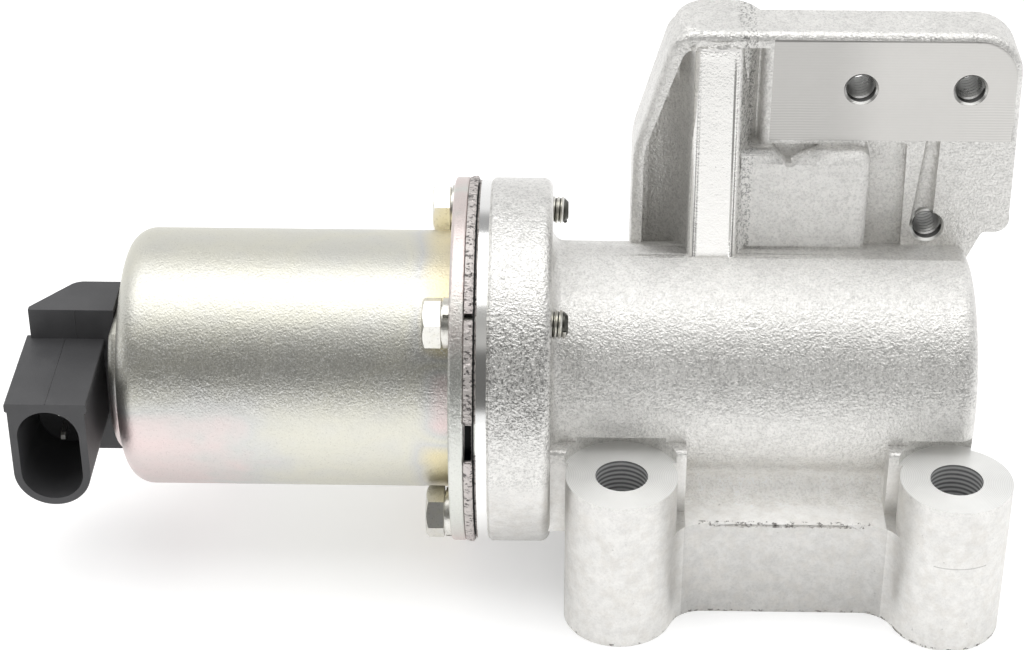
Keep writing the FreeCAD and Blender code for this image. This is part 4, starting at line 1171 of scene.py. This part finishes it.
class VALVE_OT_plug(ValveStep, bpy.types.Operator):
    """Finish the plug housing and its contacts, with the lines of the mould"""
    bl_idname = "valve.plug"
    bl_label = "Plug"

    def execute(self, context):
        look = context.scene.valve_plastic
        shell = black_plastic(look)
        dress(shell, "connector_housing")
        dress(plain_finish("tinned_brass", tuple(look.contact), 0.25, 0.2, 0.004),
              "terminal_upper", "terminal_lower")
        new_piece("plug_mould_lines", mould_lines, shell, "housing")
        return {"FINISHED"}


def mould_lines(form):
    """Fine raised seams where the halves of the mould met."""
    blade_low, blade_high = node_box("terminal_upper")
    middle = (blade_low.x + blade_high.x) / 2
    beside = middle + 2.05 * MM
    top = SHROUD_TOP + 0.3 * MM
    seam(form, Vector((middle, PLUG_LOW.y + 0.1 * MM, top)), Vector((middle, SLAB_FRONT - 0.1 * MM, top)),
         Vector((0, 0, 1)))
    seam(form, Vector((beside, SLAB_FRONT, SHROUD_TOP + 0.5 * MM)),
         Vector((beside, SLAB_FRONT, PLUG_HIGH.z - 0.1 * MM)), Vector((0, -1, 0)))
    bmesh.ops.recalc_face_normals(form, faces=form.faces)


def seam(form, start, end, out):
    """Low ridge of triangular section from start to end, sunk a little into its face."""
    side = (end - start).normalized().cross(out) * 0.16 * MM
    rise = out * 0.09 * MM
    sink = out * -0.05 * MM
    count = 12
    points = [start.lerp(end, i / count) for i in range(count + 1)]
    rings_of(form, [[point + offset for offset in (side + sink, rise, sink - side)] for point in points])


# Inner pieces: colour, roughness, grain size and height in mm, metallic, and the nodes
INNER = {
    "hard_steel": ((0.52, 0.52, 0.53), 0.22, 0.2, 0.003, 1.0,
                   ("valve_seat", "valve_stem", "poppet", "spring_retainer")),
    "sintered_iron": ((0.36, 0.35, 0.34), 0.45, 0.2, 0.02, 1.0, ("stem_guide_bush",)),
    "soft_iron": ((0.50, 0.50, 0.50), 0.34, 0.3, 0.008, 1.0, ("armature", "pole_core", "pole_plate")),
    "tube_brass": ((0.72, 0.55, 0.26), 0.26, 0.3, 0.004, 1.0, ("armature_tube",)),
    "spring_steel": ((0.58, 0.58, 0.60), 0.24, 0.2, 0.004, 1.0, ("return_spring",)),
    "sealing_plastic": ((0.05, 0.05, 0.05), 0.5, 0.3, 0.01, 0.0, ("stem_seal",)),
    "seal_rubber": ((0.025, 0.025, 0.025), 0.6, 0.3, 0.01, 0.0, ("can_seal_ring",)),
}


class VALVE_OT_inside(ValveStep, bpy.types.Operator):
    """Finish the coil, the irons, the stem and the seat"""
    bl_idname = "valve.inside"
    bl_label = "Inner pieces"

    def execute(self, context):
        look = context.scene.valve_plastic
        for name, (*finish, pieces) in INNER.items():
            dress(plain_finish(name, *finish), *pieces)
        dress(plain_finish("spool_plastic", tuple(look.spool), 0.45, 0.3, 0.01, metallic=0.0), "coil_bobbin")
        dress(wound_copper(look), "coil_winding")
        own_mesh(frame["nodes"]["return_spring"])
        return {"FINISHED"}


class VALVE_OT_stage(ValveStep, bpy.types.Operator):
    """Set up the floor, the lamps, the dome that the metal reflects and the camera"""
    bl_idname = "valve.stage"
    bl_label = "Stage"

    dome_r = 2.2

    def execute(self, context):
        scene = context.scene
        look = scene.valve_stage
        scene.view_settings.view_transform = "Standard"
        self.floor(look)
        self.dome()
        self.lamp(look)
        self.world(scene, look)
        self.camera(scene, look)
        return {"FINISHED"}

    def floor(self, look):
        def sheet(form):
            bmesh.ops.create_grid(form, x_segments=1, y_segments=1, size=6.0)

        mesh = mesh_from("floor", sheet)
        mesh.transform(Matrix.Translation((0, 0, -0.05 * MM)))
        plane = add_object("floor", mesh)
        f = Finish("floor_paper")
        seen = self.seen(f)
        base = f.node("ShaderNodeBsdfPrincipled", {}, {"Base Color": rgba(look.floor), "Roughness": 0.9,
                                                       "Specular IOR Level": 0.0})
        far = distance(f.x, f.y).step(0.16, 0.40)
        lift = f.node("ShaderNodeEmission", {}, {"Color": (1, 1, 1, 1), "Strength": seen * 0.37})
        near = f.node("ShaderNodeAddShader", {}, {0: base, 1: lift})
        white = f.node("ShaderNodeEmission", {}, {"Color": (1, 1, 1, 1), "Strength": 1.0})
        shown = f.node("ShaderNodeMixShader", {}, {0: far * seen, 1: near, 2: white})
        mesh.materials.append(f.surface(shown))

    def seen(self, f):
        """1 on rays that show a background: camera, glossy and transmission."""
        path = f.tree.nodes.new("ShaderNodeLightPath")
        rays = [Wire(f.tree, path.outputs[f"Is {kind} Ray"]) for kind in ("Camera", "Glossy", "Transmission")]
        return rays[0].largest(rays[1]).largest(rays[2])

    def dome(self):
        """Studio walls, which only reflections show."""
        def half_sphere(form):
            bmesh.ops.create_uvsphere(form, u_segments=64, v_segments=48, radius=self.dome_r)
            bmesh.ops.delete(form, geom=[v for v in form.verts if v.co.z < -0.02], context="VERTS")
            bmesh.ops.reverse_faces(form, faces=form.faces)

        mesh = mesh_from("studio_walls", half_sphere)
        walls = add_object("studio_walls", mesh)
        walls.visible_camera = False
        walls.visible_diffuse = False
        walls.visible_shadow = False
        walls.visible_transmission = False
        f = Finish("studio_walls")
        height = f.z / self.dome_r
        rise = height.math("ARCSINE", height) * (180 / math.pi) / 90.0
        front = [(0.0, 0.30), (0.04, 0.14), (0.40, 0.14), (0.46, 0.50), (0.55, 0.46), (0.60, 0.40),
                 (0.78, 0.45), (0.9, 0.9)]
        rear = [(0.0, 1.0), (0.45, 0.85), (0.54, 0.36), (0.68, 0.36), (0.76, 0.8), (0.9, 0.9)]
        front = f.ramp(rise, [(at, (level, level * 0.99, level * 0.96)) for at, level in front])
        rear = f.ramp(rise, [(at, (level, level, level)) for at, level in rear])
        behind = (f.y / self.dome_r).step(-0.30, 0.25)
        glow = f.node("ShaderNodeEmission", {}, {"Color": f.mix(behind, front, rear), "Strength": 1.0})
        mesh.materials.append(f.surface(glow))

    def lamp(self, look):
        width, depth, height = 2.6, 1.15, 1.25
        data = bpy.data.lights.new("ceiling_lamp", "AREA")
        data.shape = "RECTANGLE"
        data.size = width
        data.size_y = depth
        data.energy = look.lamp_level * math.pi * width * depth
        add_object("ceiling_lamp", data).location = (look.aim[0], 0.03, height)

    def world(self, scene, look):
        world = bpy.data.worlds.new("studio")
        scene.world = world
        world.use_nodes = True
        f = Finish("studio", world.node_tree)
        level = self.seen(f) * (1 - look.ambient) + look.ambient
        f.surface(f.node("ShaderNodeBackground", {}, {"Color": (1, 1, 1, 1), "Strength": level}))

    def camera(self, scene, look):
        aim = Vector(look.aim)
        out = Vector((math.sin(look.azimuth) * math.cos(look.elevation),
                      -math.cos(look.azimuth) * math.cos(look.elevation), math.sin(look.elevation)))
        data = bpy.data.cameras.new("camera")
        data.sensor_fit = "HORIZONTAL"
        data.sensor_width = 36.0
        data.lens = look.lens
        data.clip_start = 0.01
        camera = add_object("camera", data)
        camera.location = aim + out * look.distance
        camera.rotation_euler = (-out).to_track_quat("-Z", "Y").to_euler()
        scene.camera = camera


class VALVE_PT_steps(bpy.types.Panel):
    """Steps and settings of the valve"""
    bl_idname = "VALVE_PT_steps"
    bl_label = "Exhaust gas valve"
    bl_space_type = "VIEW_3D"
    bl_region_type = "UI"
    bl_category = "Valve"

    def draw(self, context):
        for step, group in STEPS:
            box = self.layout.box()
            box.operator(f"valve.{step}")
            settings = getattr(context.scene, group)
            for key in settings.bl_rna.properties.keys():
                if key not in ("rna_type", "name"):
                    box.prop(settings, key)


STEPS = (("casting", "valve_casting"), ("can", "valve_can"), ("plates", "valve_plates"),
         ("screws", "valve_screws"), ("tapped_threads", "valve_screws"), ("plug", "valve_plastic"),
         ("inside", "valve_plastic"), ("stage", "valve_stage"))
GROUPS = {"valve_casting": ValveCasting, "valve_can": ValveCan, "valve_plates": ValvePlates,
          "valve_screws": ValveScrews, "valve_plastic": ValvePlastic, "valve_stage": ValveStage}
CLASSES = (*GROUPS.values(), VALVE_OT_casting, VALVE_OT_can, VALVE_OT_plates, VALVE_OT_screws,
           VALVE_OT_tapped_threads, VALVE_OT_plug, VALVE_OT_inside, VALVE_OT_stage, VALVE_PT_steps)


def register():
    for each in CLASSES:
        bpy.utils.register_class(each)
    for name, group in GROUPS.items():
        setattr(bpy.types.Scene, name, bpy.props.PointerProperty(type=group))


def unregister():
    for name in GROUPS:
        delattr(bpy.types.Scene, name)
    for each in reversed(CLASSES):
        bpy.utils.unregister_class(each)


def main():
    register()
    for step, _ in STEPS:
        getattr(bpy.ops.valve, step)()


if __name__ == "__main__":
    main()
